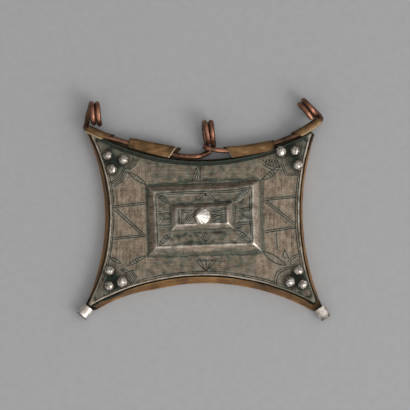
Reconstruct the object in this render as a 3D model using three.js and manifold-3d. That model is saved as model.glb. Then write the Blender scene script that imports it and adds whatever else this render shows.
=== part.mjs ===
// Amulet case pendant: a shallow sheet-metal case with four hollow-curved sides, hung from a copper wire
// that is coiled into three eyes along its top edge. Millimetres, +Z up. The case lies on its back:
// +X is its right side, +Y its top edge, and the origin is the middle of the back sheet's outer face.
import * as THREE from "three";
import { mergeVertices } from "three/addons/utils/BufferGeometryUtils.js";
import Module from "manifold-3d";

const wasm = await Module();
wasm.setup();

// Case: corners where the hand-cut curves of the back sheet would meet, and the bow of each side.
const caseCorners = {
  topLeft: [-41.0, 32.3],
  topRight: [38.2, 31.4],
  bottomRight: [41.4, -34.9],
  bottomLeft: [-43.8, -37.9],
};
const caseBows = { top: 12.6, right: 6.9, bottom: 14.1, left: 9.4 };
// Length of each side's curve that is left off at a blunt tip.
const tipCuts = { topLeft: 4.6, topRight: 3.9, bottomRight: 6.6, bottomLeft: 9.6 };
const backSheet = 0.6; // thickness of the back sheet

// Side bands: four strips that lean in from the back sheet to the rim of the front pan.
const bandTopZ = 4.2;
const bandSheet = 0.35;
const bandFootInset = 0.15; // back sheet showing outside a band's foot
const bandEndCut = 0.8; // how much shorter a band is than the back sheet, at each end

// Front pan: silver sheet with a raised rim, a flange turned down inside the bands and a stepped top.
const panCorners = {
  topLeft: [-37.8, 27.6],
  topRight: [35.7, 27.7],
  bottomRight: [37.0, -29.4],
  bottomLeft: [-38.4, -30.4],
};
const panBows = { top: 9.9, right: 5.0, bottom: 10.0, left: 7.2 };
// Length left off at each tip, along the crest of the rim.
const panTipCuts = { topLeft: 1.3, topRight: 1.3, bottomRight: 2.6, bottomLeft: 2.8 };
const panTipMitre = 3; // how much further back a tip lies for each unit that its edge lies further in
const panSheet = 0.5;
const fieldZ = 4.3; // height of the flat field
const rimRise = 0.4; // rim bead above the field
const rimWidth = 0.8;
const rimGap = 0.25; // dark gap between the pan's flange and the bands
const flangeFootGap = 0.3; // flange edge above the back sheet

// Stepped top: two rectangular tiers with sloping sides, set a little askew by hand.
const tierTurn = 2.3; // degrees anticlockwise
const tierCorner = 0.35; // softened corner
const outerTier = { centre: [0.05, -1.2], base: [37.7, 23.5], top: [32.6, 18.8], rise: 2.2 };
const innerTier = { centre: [-0.65, -0.95], base: [20.9, 9.0], top: [17.2, 5.7], rise: 2.3 };

// Stud: fluted silver cone on the inner tier, leaning a little to one side.
const studDiameter = 5.4;
const studHeight = 2.6;
const studFlutes = 12;
const studFluteDepth = 0.28;
const studLean = [-0.5, -0.45]; // apex from the middle of the stud
// Shares of the radius and of the height, from the stud's foot to its apex.
const studLevels = [[1, 0], [1, 0.12], [0.62, 0.55], [0.3, 0.86], [0.08, 1]];

// Granules: solid silver balls soldered in threes near each corner, each place measured from its pan corner.
const granuleDiameter = 3.2;
const granuleFoot = 1.8; // diameter of the soldered flat
const granulePlaces = {
  topLeft: [[5.7, -7.7], [11.0, -9.1], [7.2, -12.4]],
  topRight: [[-10.0, -6.5], [-5.4, -6.2], [-4.5, -11.1]],
  bottomRight: [[-5.7, 10.6], [-8.5, 6.9], [-4.2, 6.0]],
  bottomLeft: [[7.1, 11.6], [7.0, 6.5], [11.2, 7.9]],
};

// End caps: short silver tubes, closed at the far end, on tongues of the back sheet at the lower corners.
const capBoreWall = 0.35;
const capLength = 3.9;
const capEndWall = 0.7;
const capChamfer = 0.3; // round the closed end
const capMouthDiameter = 4.1;
const capEndDiameter = { left: 4.1, right: 3.6 };
const capAim = { left: 229, right: 302 }; // degrees from +X, the way each cap points
const capMouths = { left: [5.6, 7.2], right: [-2.9, 3.85] }; // middle of each mouth, from the sheet's corner
const capMidZ = 2.35;
const tongueWidth = 2.0;
const tongueRoot = 4; // length of a tongue that lies in the back sheet
const tongueBend = 1; // length over which it bends up
const tongueRise = 1.6; // tongue's underside inside the cap
const tongueClearance = 0.4; // from the tongue's end to the closed end of the bore

// Suspension wire: one length. A rail point lies on the pan's hollow top edge, at a share of the half of that
// edge right (+) or left (-) of its middle; it is moved out from the crest of the rim, then up from railZ.
const wireDiameter = 1.6;
const railZ = 3.5;
const bendLeft = [[-38.8, 33.0, 2.5], [-39.0, 31.1, 3.9]];
const railLeft = [
  [-1.052, 0.45, 1.9], [-0.981, 0.75, 2.05], [-0.894, 1.02, 2.0], [-0.814, 1.6, 1.5],
  [-0.734, 2.1, 0.6], [-0.664, 2.3, 0.1], [-0.459, 2.2, 0], [-0.214, 2.05, 0],
];
const dipLeft = [
  [-6.6, 19.95, 3.5], [-4.2, 19.8, 3.5], [-1.9, 20.0, 3.0], [0.1, 20.8, 1.9],
  [2.1, 22.0, 1.25], [3.35, 22.9, 1.8], [3.75, 23.8, 3.2],
];
const dipRight = [
  [-0.62, 25.9, 1.5], [-0.6, 24.4, 2.2], [-0.15, 23.2, 3.3], [1.1, 22.45, 4.2], [3.1, 22.1, 4.3],
];
const railRight = [
  [0.22, 3.6, 0], [0.426, 2.817, 0], [0.656, 2.12, 0], [0.741, 2.03, 0.3],
  [0.818, 1.86, 0.8], [0.896, 1.72, 1.25], [1.015, 1.8, 1.5], [1.13, 2.05, 1.4],
];
const bendRight = [[39.2, 33.0, 3.7], [38.3, 34.9, 2.3]];

// Eyes: two turns each, standing on edge beside the top of the case.
const eyePitch = 2.05;
const eyeClearance = 0.05; // lowest point of an eye above the back sheet's face
const eyes = {
  left: { centre: [-36.0, 34.3], across: 8.2, far: 90, from: -235, to: -795, start: -1.81, advance: 1 },
  centre: { centre: [1.45, 28.0], across: 8.2, far: 93, from: -78, to: 500, start: 1.6, advance: -1 },
  right: { centre: [34.1, 35.45], across: 7.5, far: 136, from: -230, to: -755, start: 1.95, advance: -1 },
};
const wireSampling = 0.5; // spacing of the points between which the wire's least gap is measured

// Sleeves: brass strips folded over the wire, from one share of the top edge to another. The long pair
// reach from the pan's rim out past the wire, by a leg and a reach given at their two ends and between;
// the corner pair are curled closely round the wire.
const sleeveSheet = 0.3;
const sleeveClearance = 0.1; // inside a fold, over the wire
const longSleeves = {
  left: { from: -0.655, to: -0.265, leg: [1.3, 1.15, 1.45], reach: [1.9, 2.85, 2.75], skew: [-0.15, 0.48] },
  right: { from: 0.256, to: 0.642, leg: [2.75, 1.95, 1.6], reach: [1.3, 1.55, 1.25], skew: [-0.45, 0.3] },
};
const backLeg = 0.45; // a long sleeve's back edge, inside the wire's middle
const frontLegDip = 0.1; // how far the front edge leans down
const cornerSleeves = {
  left: { from: -1.012, to: -0.85, skew: [0, 0.95] },
  right: { from: 0.875, to: 1.045, skew: [-0.85, 0] },
};
const curlEdges = [165, -75]; // degrees round the wire at which a corner sleeve's edges lie

// Charm packet: the folded charm that the case was closed around.
const packet = [30, 15.4, 3.4];
const packetCorner = 1.2; // radius of its folded corners
const packetSoftening = 0.6; // how far its edges are rounded over
const packetClearance = 0.3;

// How finely the curves are stepped.
const sideSteps = 14;
const wireSides = 8;
const turnSteps = 24;
const granuleBands = 8;
const granuleSides = 14;
const capSides = 20;
const foldSteps = 8;
const longSleeveSteps = 8;
const cornerSleeveSteps = 6;
const railSamples = 400;
const wireArcSamples = 3000;
const radians = Math.PI / 180;

const silver = new THREE.MeshStandardMaterial({ color: 0x7a7468, roughness: 0.5, metalness: 0.9 });
const brightSilver = new THREE.MeshStandardMaterial({ color: 0xc9c2b4, roughness: 0.35, metalness: 1 });
const copper = new THREE.MeshStandardMaterial({ color: 0x9a6238, roughness: 0.45, metalness: 0.9 });
const wireCopper = new THREE.MeshStandardMaterial({ color: 0x9c5f4c, roughness: 0.4, metalness: 0.9 });
const brass = new THREE.MeshStandardMaterial({ color: 0x86663f, roughness: 0.5, metalness: 0.9 });
const hide = new THREE.MeshStandardMaterial({ color: 0x6b4a30, roughness: 0.9, metalness: 0 });

const caseRoot = new THREE.Group();

function addPiece(name, geometry, material) {
  const mesh = new THREE.Mesh(geometry, material);
  mesh.name = name;
  caseRoot.add(mesh);
}

// A closed skin over rings of equally many points; the first and last ring are filled in.
// Its faces are turned outwards whichever way the rings run.
function skin(rings) {
  const count = rings[0].length;
  const places = rings.flat().flatMap((p) => [p.x, p.y, p.z]);
  const faces = [];
  for (let r = 0; r + 1 < rings.length; r++)
    for (let i = 0; i < count; i++) {
      const a = r * count + i;
      const b = r * count + ((i + 1) % count);
      faces.push(a, b, b + count, a, b + count, a + count);
    }
  const last = (rings.length - 1) * count;
  for (const [a, b, c] of fill(rings[rings.length - 1])) faces.push(last + a, last + b, last + c);
  for (const [a, b, c] of fill(rings[0])) faces.push(a, c, b);
  if (volumeInside(rings.flat(), faces) < 0) faces.reverse();
  const geometry = new THREE.BufferGeometry();
  geometry.setAttribute("position", new THREE.Float32BufferAttribute(places, 3));
  geometry.setIndex(faces);
  const shown = geometry.toNonIndexed();
  shown.computeVertexNormals();
  return shown;
}

function volumeInside(points, faces) {
  let sum = 0;
  for (let i = 0; i < faces.length; i += 3) {
    const [a, b, c] = [0, 1, 2].map((k) => points[faces[i + k]]);
    sum += a.dot(b.clone().cross(c)) / 6;
  }
  return sum;
}

// Triangles that fill one ring, worked out in the ring's own plane.
function fill(ring) {
  const normal = new THREE.Vector3();
  ring.forEach((p, i) => {
    const q = ring[(i + 1) % ring.length];
    normal.x += (p.y - q.y) * (p.z + q.z);
    normal.y += (p.z - q.z) * (p.x + q.x);
    normal.z += (p.x - q.x) * (p.y + q.y);
  });
  const flat = new THREE.Quaternion().setFromUnitVectors(normal.normalize(), new THREE.Vector3(0, 0, 1));
  const outline = ring.map((p) => {
    const q = p.clone().applyQuaternion(flat);
    return new THREE.Vector2(q.x, q.y);
  });
  return THREE.ShapeUtils.triangulateShape(outline, []);
}

function toSolid(geometry) {
  const bare = geometry.clone();
  bare.deleteAttribute("normal");
  bare.deleteAttribute("uv");
  const merged = mergeVertices(bare, 1e-4);
  return new wasm.Manifold(
    new wasm.Mesh({
      numProp: 3,
      vertProperties: merged.attributes.position.array,
      triVerts: new Uint32Array(merged.index.array),
    }),
  );
}

function toGeometry(solid) {
  const mesh = solid.getMesh();
  const geometry = new THREE.BufferGeometry();
  geometry.setAttribute("position", new THREE.Float32BufferAttribute(mesh.vertProperties, 3));
  geometry.setIndex([...mesh.triVerts]);
  const shown = geometry.toNonIndexed();
  shown.computeVertexNormals();
  return shown;
}

// The four sides, anticlockwise, each with the corners that it joins.
const sides = [
  { name: "bottom", from: "bottomLeft", to: "bottomRight" },
  { name: "right", from: "bottomRight", to: "topRight" },
  { name: "top", from: "topRight", to: "topLeft" },
  { name: "left", from: "topLeft", to: "bottomLeft" },
];

// Points of one side, bowed towards the middle and moved out by `out`; `cuts` is the length left off at
// each of its ends.
function sideCurve(corners, bow, side, out, cuts) {
  const start = new THREE.Vector2(...corners[side.from]);
  const end = new THREE.Vector2(...corners[side.to]);
  const chord = end.clone().sub(start);
  const half = chord.length() / 2;
  const along = chord.normalize();
  const inward = new THREE.Vector2(-along.y, along.x);
  const radius = (half * half + bow * bow) / (2 * bow);
  const sweep = Math.asin(half / radius);
  const first = -sweep + cuts[0] / radius;
  const last = sweep - cuts[1] / radius;
  const hub = start.addScaledVector(along, half).addScaledVector(inward, bow - radius);
  return Array.from({ length: sideSteps + 1 }, (_, i) => {
    const turn = first + ((last - first) * i) / sideSteps;
    return hub
      .clone()
      .addScaledVector(along, (radius - out) * Math.sin(turn))
      .addScaledVector(inward, (radius - out) * Math.cos(turn));
  });
}

function bowedRing(corners, bows, out, z, cutAt) {
  return sides.flatMap((side) =>
    sideCurve(corners, bows[side.name], side, out, [cutAt(side.from), cutAt(side.to)])
      .map((p) => new THREE.Vector3(p.x, p.y, z)),
  );
}

// A turned rectangle with softened corners and as many points as a bowed ring.
function tierRing(centre, size, z) {
  const [halfX, halfY] = [size[0] / 2, size[1] / 2];
  const corners = [[-halfX, -halfY], [halfX, -halfY], [halfX, halfY], [-halfX, halfY]];
  return corners.flatMap((corner, k) => {
    const start = new THREE.Vector2(...corner);
    const end = new THREE.Vector2(...corners[(k + 1) % corners.length]);
    const length = start.distanceTo(end);
    return Array.from({ length: sideSteps + 1 }, (_, i) => {
      const share = (tierCorner + ((length - 2 * tierCorner) * i) / sideSteps) / length;
      const p = start.clone().lerp(end, share).rotateAround(new THREE.Vector2(), tierTurn * radians);
      return new THREE.Vector3(centre[0] + p.x, centre[1] + p.y, z);
    });
  });
}

// Where a cap's mouth is and which way it points.
function capSeat(hand) {
  const corner = caseCorners[hand === "left" ? "bottomLeft" : "bottomRight"];
  const turn = capAim[hand] * radians;
  return {
    mouth: new THREE.Vector2(corner[0] + capMouths[hand][0], corner[1] + capMouths[hand][1]),
    way: new THREE.Vector2(Math.cos(turn), Math.sin(turn)),
  };
}

// Back sheet, with a tongue at each lower corner bent up into the end cap.
function makeTongue(hand) {
  const inCap = capLength - capEndWall - tongueClearance;
  const profile = [[-tongueBend - tongueRoot, 0], [-tongueBend, 0], [0, tongueRise], [inCap, tongueRise]];
  const upper = profile.map(([s, z]) => [s, z + backSheet]).reverse();
  const across = [-tongueWidth / 2, tongueWidth / 2];
  const { mouth, way } = capSeat(hand);
  const rings = across.map((v) =>
    [...profile, ...upper].map(([s, z]) =>
      new THREE.Vector3(mouth.x + way.x * s + way.y * v, mouth.y + way.y * s - way.x * v, z)),
  );
  return skin(rings.reverse());
}

function makeBackPlate() {
  const cutAt = (corner) => tipCuts[corner];
  const rings = [0, backSheet].map((z) => bowedRing(caseCorners, caseBows, 0, z, cutAt));
  let solid = toSolid(skin(rings));
  for (const hand of ["left", "right"]) solid = solid.add(toSolid(makeTongue(hand)));
  return toGeometry(solid);
}

// One band: its foot follows the back sheet and its head follows the pan's rim.
function makeBand(side) {
  const ends = [side.from, side.to];
  const cuts = ends.map((corner) => tipCuts[corner] + bandEndCut);
  const panCuts = ends.map((corner, k) => {
    const caseCorner = new THREE.Vector2(...caseCorners[corner]);
    return cuts[k] - caseCorner.distanceTo(new THREE.Vector2(...panCorners[corner]));
  });
  const headOut = rimWidth / 2 + rimGap;
  const foot = (out) => sideCurve(caseCorners, caseBows[side.name], side, out, cuts);
  const head = (out) => sideCurve(panCorners, panBows[side.name], side, out, panCuts);
  const rows = [
    [foot(-bandFootInset), backSheet],
    [head(headOut + bandSheet), bandTopZ],
    [head(headOut), bandTopZ],
    [foot(-bandFootInset - bandSheet), backSheet],
  ];
  const rings = Array.from({ length: sideSteps + 1 }, (_, i) =>
    rows.map(([curve, z]) => new THREE.Vector3(curve[i].x, curve[i].y, z)),
  );
  return skin(rings);
}

// Front pan: rings from the inside of the raised middle, out to the flange's edge and back over the top.
function makeFrontPan() {
  const rim = (out, z) => {
    const cutAt = (corner) => panTipCuts[corner] - panTipMitre * out;
    return bowedRing(panCorners, panBows, out, z, cutAt);
  };
  const tier = (which, edge, z, inset) =>
    tierRing(which.centre, which[edge].map((length) => length - 2 * inset), z);
  const stepZ = fieldZ + outerTier.rise;
  const topZ = stepZ + innerTier.rise;
  const rimZ = fieldZ + rimRise;
  const footZ = backSheet + flangeFootGap;
  const half = rimWidth / 2;
  const inside = [
    tier(innerTier, "top", topZ - panSheet, panSheet / 2),
    tier(innerTier, "base", stepZ - panSheet, panSheet / 2),
    tier(outerTier, "top", stepZ - panSheet, panSheet / 2),
    tier(outerTier, "base", fieldZ - panSheet, panSheet / 2),
    rim(half - panSheet, fieldZ - panSheet),
    rim(half - panSheet, footZ),
  ];
  const outside = [
    rim(half, footZ),
    rim(half, rimZ - rimRise / 2),
    rim(half / 2, rimZ),
    rim(-half / 2, rimZ),
    rim(-half, fieldZ),
    tier(outerTier, "base", fieldZ, 0),
    tier(outerTier, "top", stepZ, 0),
    tier(innerTier, "base", stepZ, 0),
    tier(innerTier, "top", topZ, 0),
  ];
  return skin([...inside, ...outside]);
}

// Stud: rings of alternating ridges and flutes that close on a small blunt apex.
function makeStud() {
  const baseZ = fieldZ + outerTier.rise + innerTier.rise;
  const radius = studDiameter / 2;
  const points = studFlutes * 2;
  const rings = studLevels.map(([share, climb]) =>
    Array.from({ length: points }, (_, i) => {
      const turn = (2 * Math.PI * i) / points;
      const reach = (radius - (i % 2) * studFluteDepth) * share;
      return new THREE.Vector3(
        innerTier.centre[0] + studLean[0] * climb + reach * Math.cos(turn),
        innerTier.centre[1] + studLean[1] * climb + reach * Math.sin(turn),
        baseZ + studHeight * climb,
      );
    }),
  );
  return skin(rings);
}

function makeGranule(corner, offset) {
  const radius = granuleDiameter / 2;
  const footTurn = Math.asin(granuleFoot / granuleDiameter);
  const lift = radius * Math.cos(footTurn);
  const profile = [new THREE.Vector2(0, 0)];
  for (let i = 0; i < granuleBands; i++) {
    const turn = footTurn + ((Math.PI - footTurn) * i) / granuleBands;
    profile.push(new THREE.Vector2(radius * Math.sin(turn), lift - radius * Math.cos(turn)));
  }
  profile.push(new THREE.Vector2(0, lift + radius));
  const ball = new THREE.LatheGeometry(profile, granuleSides);
  ball.rotateX(90 * radians);
  const [x, y] = panCorners[corner];
  ball.translate(x + offset[0], y + offset[1], fieldZ);
  return ball;
}

// End cap: a tapered tube closed at the far end, its axis lying level.
function makeCap(hand) {
  const mouth = capMouthDiameter / 2;
  const end = capEndDiameter[hand] / 2;
  const bore = (s) => mouth + ((end - mouth) * s) / capLength - capBoreWall;
  const boreDepth = capLength - capEndWall;
  const profile = [
    [0, boreDepth], [bore(boreDepth), boreDepth], [bore(0), 0], [mouth, 0],
    [end, capLength - capChamfer], [end - capChamfer, capLength], [0, capLength],
  ].map(([r, s]) => new THREE.Vector2(r, s));
  const cap = new THREE.LatheGeometry(profile, capSides);
  cap.rotateZ(-90 * radians);
  cap.rotateZ(capAim[hand] * radians);
  const { mouth: seat } = capSeat(hand);
  cap.translate(seat.x, seat.y, capMidZ);
  return cap;
}

// Points of one eye, a helix whose axis lies level; angle 0 is its top and 90 degrees its far side.
function eyePoints({ centre, across, far, from, to, start, advance }) {
  const radius = (across - wireDiameter) / 2;
  const midZ = across / 2 + eyeClearance;
  const out = new THREE.Vector2(Math.cos(far * radians), Math.sin(far * radians));
  const axis = new THREE.Vector2(out.y, -out.x);
  const span = Math.abs(to - from);
  const steps = Math.round((turnSteps * span) / 360);
  return Array.from({ length: steps + 1 }, (_, i) => {
    const turn = (from + ((to - from) * i) / steps) * radians;
    const shift = start + (advance * eyePitch * span * i) / steps / 360;
    const reach = radius * Math.sin(turn);
    return new THREE.Vector3(
      centre[0] + axis.x * shift + out.x * reach,
      centre[1] + axis.y * shift + out.y * reach,
      midZ + radius * Math.cos(turn),
    );
  });
}

// The hollow top edge of the pan, as the circle that its crest follows.
const topEdge = (() => {
  const start = new THREE.Vector2(...panCorners.topRight);
  const end = new THREE.Vector2(...panCorners.topLeft);
  const half = start.distanceTo(end) / 2;
  const along = end.clone().sub(start).normalize();
  const inward = new THREE.Vector2(-along.y, along.x);
  const radius = (half * half + panBows.top * panBows.top) / (2 * panBows.top);
  const hub = start.addScaledVector(along, half).addScaledVector(inward, panBows.top - radius);
  return { along, inward, radius, hub, sweep: Math.asin(half / radius) };
})();

function onRail([share, out, rise]) {
  const { along, inward, radius, hub, sweep } = topEdge;
  const turn = -share * sweep;
  const place = hub
    .clone()
    .addScaledVector(along, (radius - out) * Math.sin(turn))
    .addScaledVector(inward, (radius - out) * Math.cos(turn));
  return new THREE.Vector3(place.x, place.y, railZ + rise);
}

const inSpace = ([x, y, z]) => new THREE.Vector3(x, y, z);

// An eye at a free end of the wire, which stops with one diameter of straight wire.
function endEye(eye) {
  const points = eyePoints(eye);
  const [before, last] = points.slice(-2);
  const straight = last.clone().sub(before).setLength(wireDiameter);
  return [...points, last.clone().add(straight)];
}

const wirePoints = [
  ...endEye(eyes.left).reverse(),
  ...bendLeft.map(inSpace),
  ...railLeft.map(onRail),
  ...dipLeft.map(inSpace),
  ...eyePoints(eyes.centre),
  ...dipRight.map(inSpace),
  ...railRight.map(onRail),
  ...bendRight.map(inSpace),
  ...endEye(eyes.right),
];
const wireCurve = new THREE.CatmullRomCurve3(wirePoints);
wireCurve.arcLengthDivisions = wireArcSamples;

// Least gap between two stretches of the wire that lie more than `apart` along it.
function leastGap(curve, apart) {
  const count = Math.round(curve.getLength() / wireSampling);
  const points = curve.getSpacedPoints(count);
  const skip = Math.round(apart / wireSampling);
  let least = Infinity;
  points.forEach((point, i) => {
    for (const other of points.slice(i + skip)) least = Math.min(least, point.distanceTo(other));
  });
  return least - wireDiameter;
}

function makeWire() {
  const round = new THREE.Shape();
  round.absarc(0, 0, wireDiameter / 2, 0, 2 * Math.PI, false);
  const eyeLength = Math.PI * (eyes.centre.across - wireDiameter);
  return new THREE.ExtrudeGeometry(round, {
    curveSegments: wireSides / 2,
    steps: Math.round((wireCurve.getLength() / eyeLength) * turnSteps),
    extrudePath: wireCurve,
  });
}

// A polyline given thickness, as the outline of a folded sheet seen from its end.
function foldedSheet(line, thickness) {
  const normals = line.map((p, i) => {
    const before = line[Math.max(i - 1, 0)];
    const after = line[Math.min(i + 1, line.length - 1)];
    return new THREE.Vector2(before.y - after.y, after.x - before.x).normalize();
  });
  const face = (side) => line.map((p, i) => p.clone().addScaledVector(normals[i], (side * thickness) / 2));
  return [...face(1), ...face(-1).reverse()];
}

function arcPoints(middle, radius, from, to, steps) {
  return Array.from({ length: steps + 1 }, (_, i) => {
    const turn = (from + ((to - from) * i) / steps) * radians;
    return new THREE.Vector2(middle + radius * Math.cos(turn), radius * Math.sin(turn));
  });
}

const foldRadius = wireDiameter / 2 + sleeveClearance + sleeveSheet / 2;

// A value that runs smoothly through three given ones, at shares 0, a half and 1.
function bowBetween([start, middle, end], share) {
  const slope = 4 * middle - 3 * start - end;
  return start + share * slope + share * share * (end - start - slope);
}

// Section of a long sleeve, measured across the wire and up from its middle: front leg, fold beyond the
// wire and back leg.
function longSection(leg, reach) {
  const fold = reach - sleeveSheet / 2 - foldRadius;
  return foldedSheet(
    [
      new THREE.Vector2(-leg, foldRadius - frontLegDip),
      new THREE.Vector2(-leg / 3, foldRadius),
      ...arcPoints(fold, foldRadius, 90, -90, foldSteps),
      new THREE.Vector2(-backLeg, -foldRadius),
    ],
    sleeveSheet,
  );
}

// Section of a corner sleeve: one curl, open below.
function curlSection() {
  return foldedSheet(arcPoints(0, foldRadius, curlEdges[0], curlEdges[1], 2 * foldSteps), sleeveSheet);
}

// A sleeve carries its section along the wire's rail; its ends are cut askew as the strips were.
function makeSleeve(rail, { from, to, skew }, sectionAt, steps) {
  const curve = new THREE.CatmullRomCurve3(rail.map(onRail));
  const ends = [from, to].map((share) => shareAlong(curve, onRail([share, 0, 0]).x));
  const rings = Array.from({ length: steps + 1 }, (_, i) => {
    const share = i / steps;
    const t = THREE.MathUtils.lerp(...ends, share);
    const middle = curve.getPointAt(t);
    const along = curve.getTangentAt(t);
    const lean = THREE.MathUtils.lerp(...skew, share);
    return sectionAt(share).map(
      (p) =>
        new THREE.Vector3(
          middle.x + along.x * lean * p.x - along.y * p.x,
          middle.y + along.y * lean * p.x + along.x * p.x,
          middle.z + along.z * lean * p.x + p.y,
        ),
    );
  });
  return skin(rings);
}

// The share of a rail's length at which it comes nearest to the given x.
function shareAlong(curve, x) {
  const points = curve.getSpacedPoints(railSamples);
  const away = points.map((p) => Math.abs(p.x - x));
  return away.indexOf(Math.min(...away)) / railSamples;
}

// Charm packet: a hide strip folded flat, with softened edges.
function makePacket() {
  const soft = packetSoftening;
  const corner = packetCorner;
  const [halfX, halfY] = [packet[0] / 2 - soft, packet[1] / 2 - soft];
  const outline = new THREE.Shape();
  outline.moveTo(-halfX + corner, -halfY);
  outline.lineTo(halfX - corner, -halfY);
  outline.quadraticCurveTo(halfX, -halfY, halfX, -halfY + corner);
  outline.lineTo(halfX, halfY - corner);
  outline.quadraticCurveTo(halfX, halfY, halfX - corner, halfY);
  outline.lineTo(-halfX + corner, halfY);
  outline.quadraticCurveTo(-halfX, halfY, -halfX, halfY - corner);
  outline.lineTo(-halfX, -halfY + corner);
  outline.quadraticCurveTo(-halfX, -halfY, -halfX + corner, -halfY);
  const body = new THREE.ExtrudeGeometry(outline, {
    depth: packet[2] - 2 * soft,
    bevelSize: soft,
    bevelThickness: soft,
    bevelSegments: 2,
    curveSegments: 3,
  });
  body.translate(0, 0, soft);
  body.rotateZ(tierTurn * radians);
  body.translate(outerTier.centre[0], outerTier.centre[1], backSheet + packetClearance);
  return body;
}

addPiece("back_plate", makeBackPlate(), copper);
for (const side of sides) addPiece(`band_${side.name}`, makeBand(side), copper);
addPiece("front_pan", makeFrontPan(), silver);
addPiece("centre_stud", makeStud(), brightSilver);
for (const [corner, places] of Object.entries(granulePlaces))
  for (const [i, place] of places.entries())
    addPiece(`granule_${corner}_${i + 1}`, makeGranule(corner, place), brightSilver);
for (const hand of ["left", "right"]) addPiece(`end_cap_${hand}`, makeCap(hand), brightSilver);
addPiece("suspension_wire", makeWire(), wireCopper);
for (const [hand, rail] of [["left", railLeft], ["right", railRight]]) {
  const long = longSleeves[hand];
  const sectionAt = (share) => longSection(bowBetween(long.leg, share), bowBetween(long.reach, share));
  addPiece(`long_sleeve_${hand}`, makeSleeve(rail, long, sectionAt, longSleeveSteps), brass);
  const curled = makeSleeve(rail, cornerSleeves[hand], curlSection, cornerSleeveSteps);
  addPiece(`corner_sleeve_${hand}`, curled, brass);
}
addPiece("charm_packet", makePacket(), hide);

// Least gap between stretches of the wire that lie more than 2.5 diameters apart along it.
const selfGap = leastGap(wireCurve, 2.5 * wireDiameter).toFixed(2);
console.log(`suspension wire: ${wireCurve.getLength().toFixed(1)} mm, least gap to itself ${selfGap} mm`);

export default caseRoot;
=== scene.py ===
import math

import bmesh
import bpy
import numpy as np
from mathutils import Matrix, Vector, noise
from mathutils.geometry import delaunay_2d_cdt


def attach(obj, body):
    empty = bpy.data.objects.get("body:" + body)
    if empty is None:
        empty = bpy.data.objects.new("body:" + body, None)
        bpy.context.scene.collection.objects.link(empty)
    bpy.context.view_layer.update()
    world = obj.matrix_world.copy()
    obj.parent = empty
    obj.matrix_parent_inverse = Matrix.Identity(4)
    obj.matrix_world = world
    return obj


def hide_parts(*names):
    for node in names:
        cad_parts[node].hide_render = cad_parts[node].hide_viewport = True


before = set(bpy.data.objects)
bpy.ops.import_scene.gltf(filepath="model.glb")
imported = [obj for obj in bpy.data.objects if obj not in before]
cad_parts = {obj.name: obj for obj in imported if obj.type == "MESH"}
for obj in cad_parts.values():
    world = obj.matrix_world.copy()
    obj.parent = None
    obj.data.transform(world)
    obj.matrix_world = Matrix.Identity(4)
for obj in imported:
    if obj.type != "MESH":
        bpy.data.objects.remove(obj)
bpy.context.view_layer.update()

# Back sheet: flat copper, cut by hand along four hollow curves and filed, with a tongue at each lower
# point that is bent up into an end cap. The side bands are soldered to its inner face.
# Sizes are in millimetres, in the pendant's own frame, until a mesh is made.
case_corners = {"tl": (-41.0, 32.3), "tr": (38.2, 31.4), "br": (41.4, -34.9), "bl": (-43.8, -37.9)}
case_bows = {"bottom": 14.1, "right": 6.9, "top": 12.6, "left": 9.4}
tip_cuts = {"tl": 4.6, "tr": 3.9, "br": 6.6, "bl": 9.6}
sides = {"bottom": ("bl", "br"), "right": ("br", "tr"), "top": ("tr", "tl"), "left": ("tl", "bl")}
back_sheet = 0.6
cap_mouths = {"bl": Vector((-38.2, -30.7)), "br": Vector((38.5, -31.05))}
cap_aims = {"bl": math.radians(229), "br": math.radians(302)}
tongue_width, tongue_length, tongue_rise, tongue_bend = 2.0, 2.8, 1.6, 0.8
pushed_up, push_from, push_over = 1.15, -17, 12


def side_circle(corners, bows, side):
    """The circle that a hollow side follows: its hub, radius and half sweep, and the way along the side."""
    start, end = (Vector(corners[name]) for name in sides[side])
    half, bow = (end - start).length / 2, bows[side]
    along = (end - start).normalized()
    radius = (half * half + bow * bow) / (2 * bow)
    hub = start + along * half + Vector((-along.y, along.x)) * (bow - radius)
    return hub, radius, math.asin(half / radius), along


def side_curve(corners, bows, side, out, cuts, steps):
    """Points of one hollow side moved out by `out`, with `cuts` of its length left off at the ends."""
    hub, radius, sweep, along = side_circle(corners, bows, side)
    inward = Vector((-along.y, along.x))
    first, last = cuts[0] / radius - sweep, sweep - cuts[1] / radius
    turns = [first + (last - first) * i / steps for i in range(steps + 1)]
    reach = radius - out
    return [hub + along * reach * math.sin(t) + inward * reach * math.cos(t) for t in turns]


def unit(value):
    """The value kept between 0 and 1."""
    return min(1, max(0, value))


def waver(x, y, span, seed=0.0):
    """Smooth unevenness between -1 and 1 that changes over about `span` millimetres."""
    return noise.noise(Vector((x / span, y / span, seed + 0.37)))


def flat_mesh(outline, lines, points):
    """Triangles that fill an outline, seen in plan, and keep to the given lines: corners and faces."""
    corners = [Vector(p) for p in outline]
    edges = []
    for line in lines:
        edges += [(i, i + 1) for i in range(len(corners), len(corners) + len(line) - 1)]
        corners += [Vector(p) for p in line]
    corners += [Vector(p) for p in points]
    made = delaunay_2d_cdt(corners, edges, [list(range(len(outline)))], 1, 1e-4)
    return made[0], [tuple(face) for face in made[2]]


def rings_mesh(rings, first=0, close=True):
    """Faces that join closed rings of equally many corners; the end rings are filled if `close`."""
    count = len(rings[0])
    faces = []
    for r in range(len(rings) - 1):
        for i in range(count):
            a, b = first + r * count + i, first + r * count + (i + 1) % count
            faces.append((a, b, b + count, a + count))
    if close:
        last = first + (len(rings) - 1) * count
        faces += [tuple(range(first + count - 1, first - 1, -1)), tuple(range(last, last + count))]
    return faces


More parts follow.
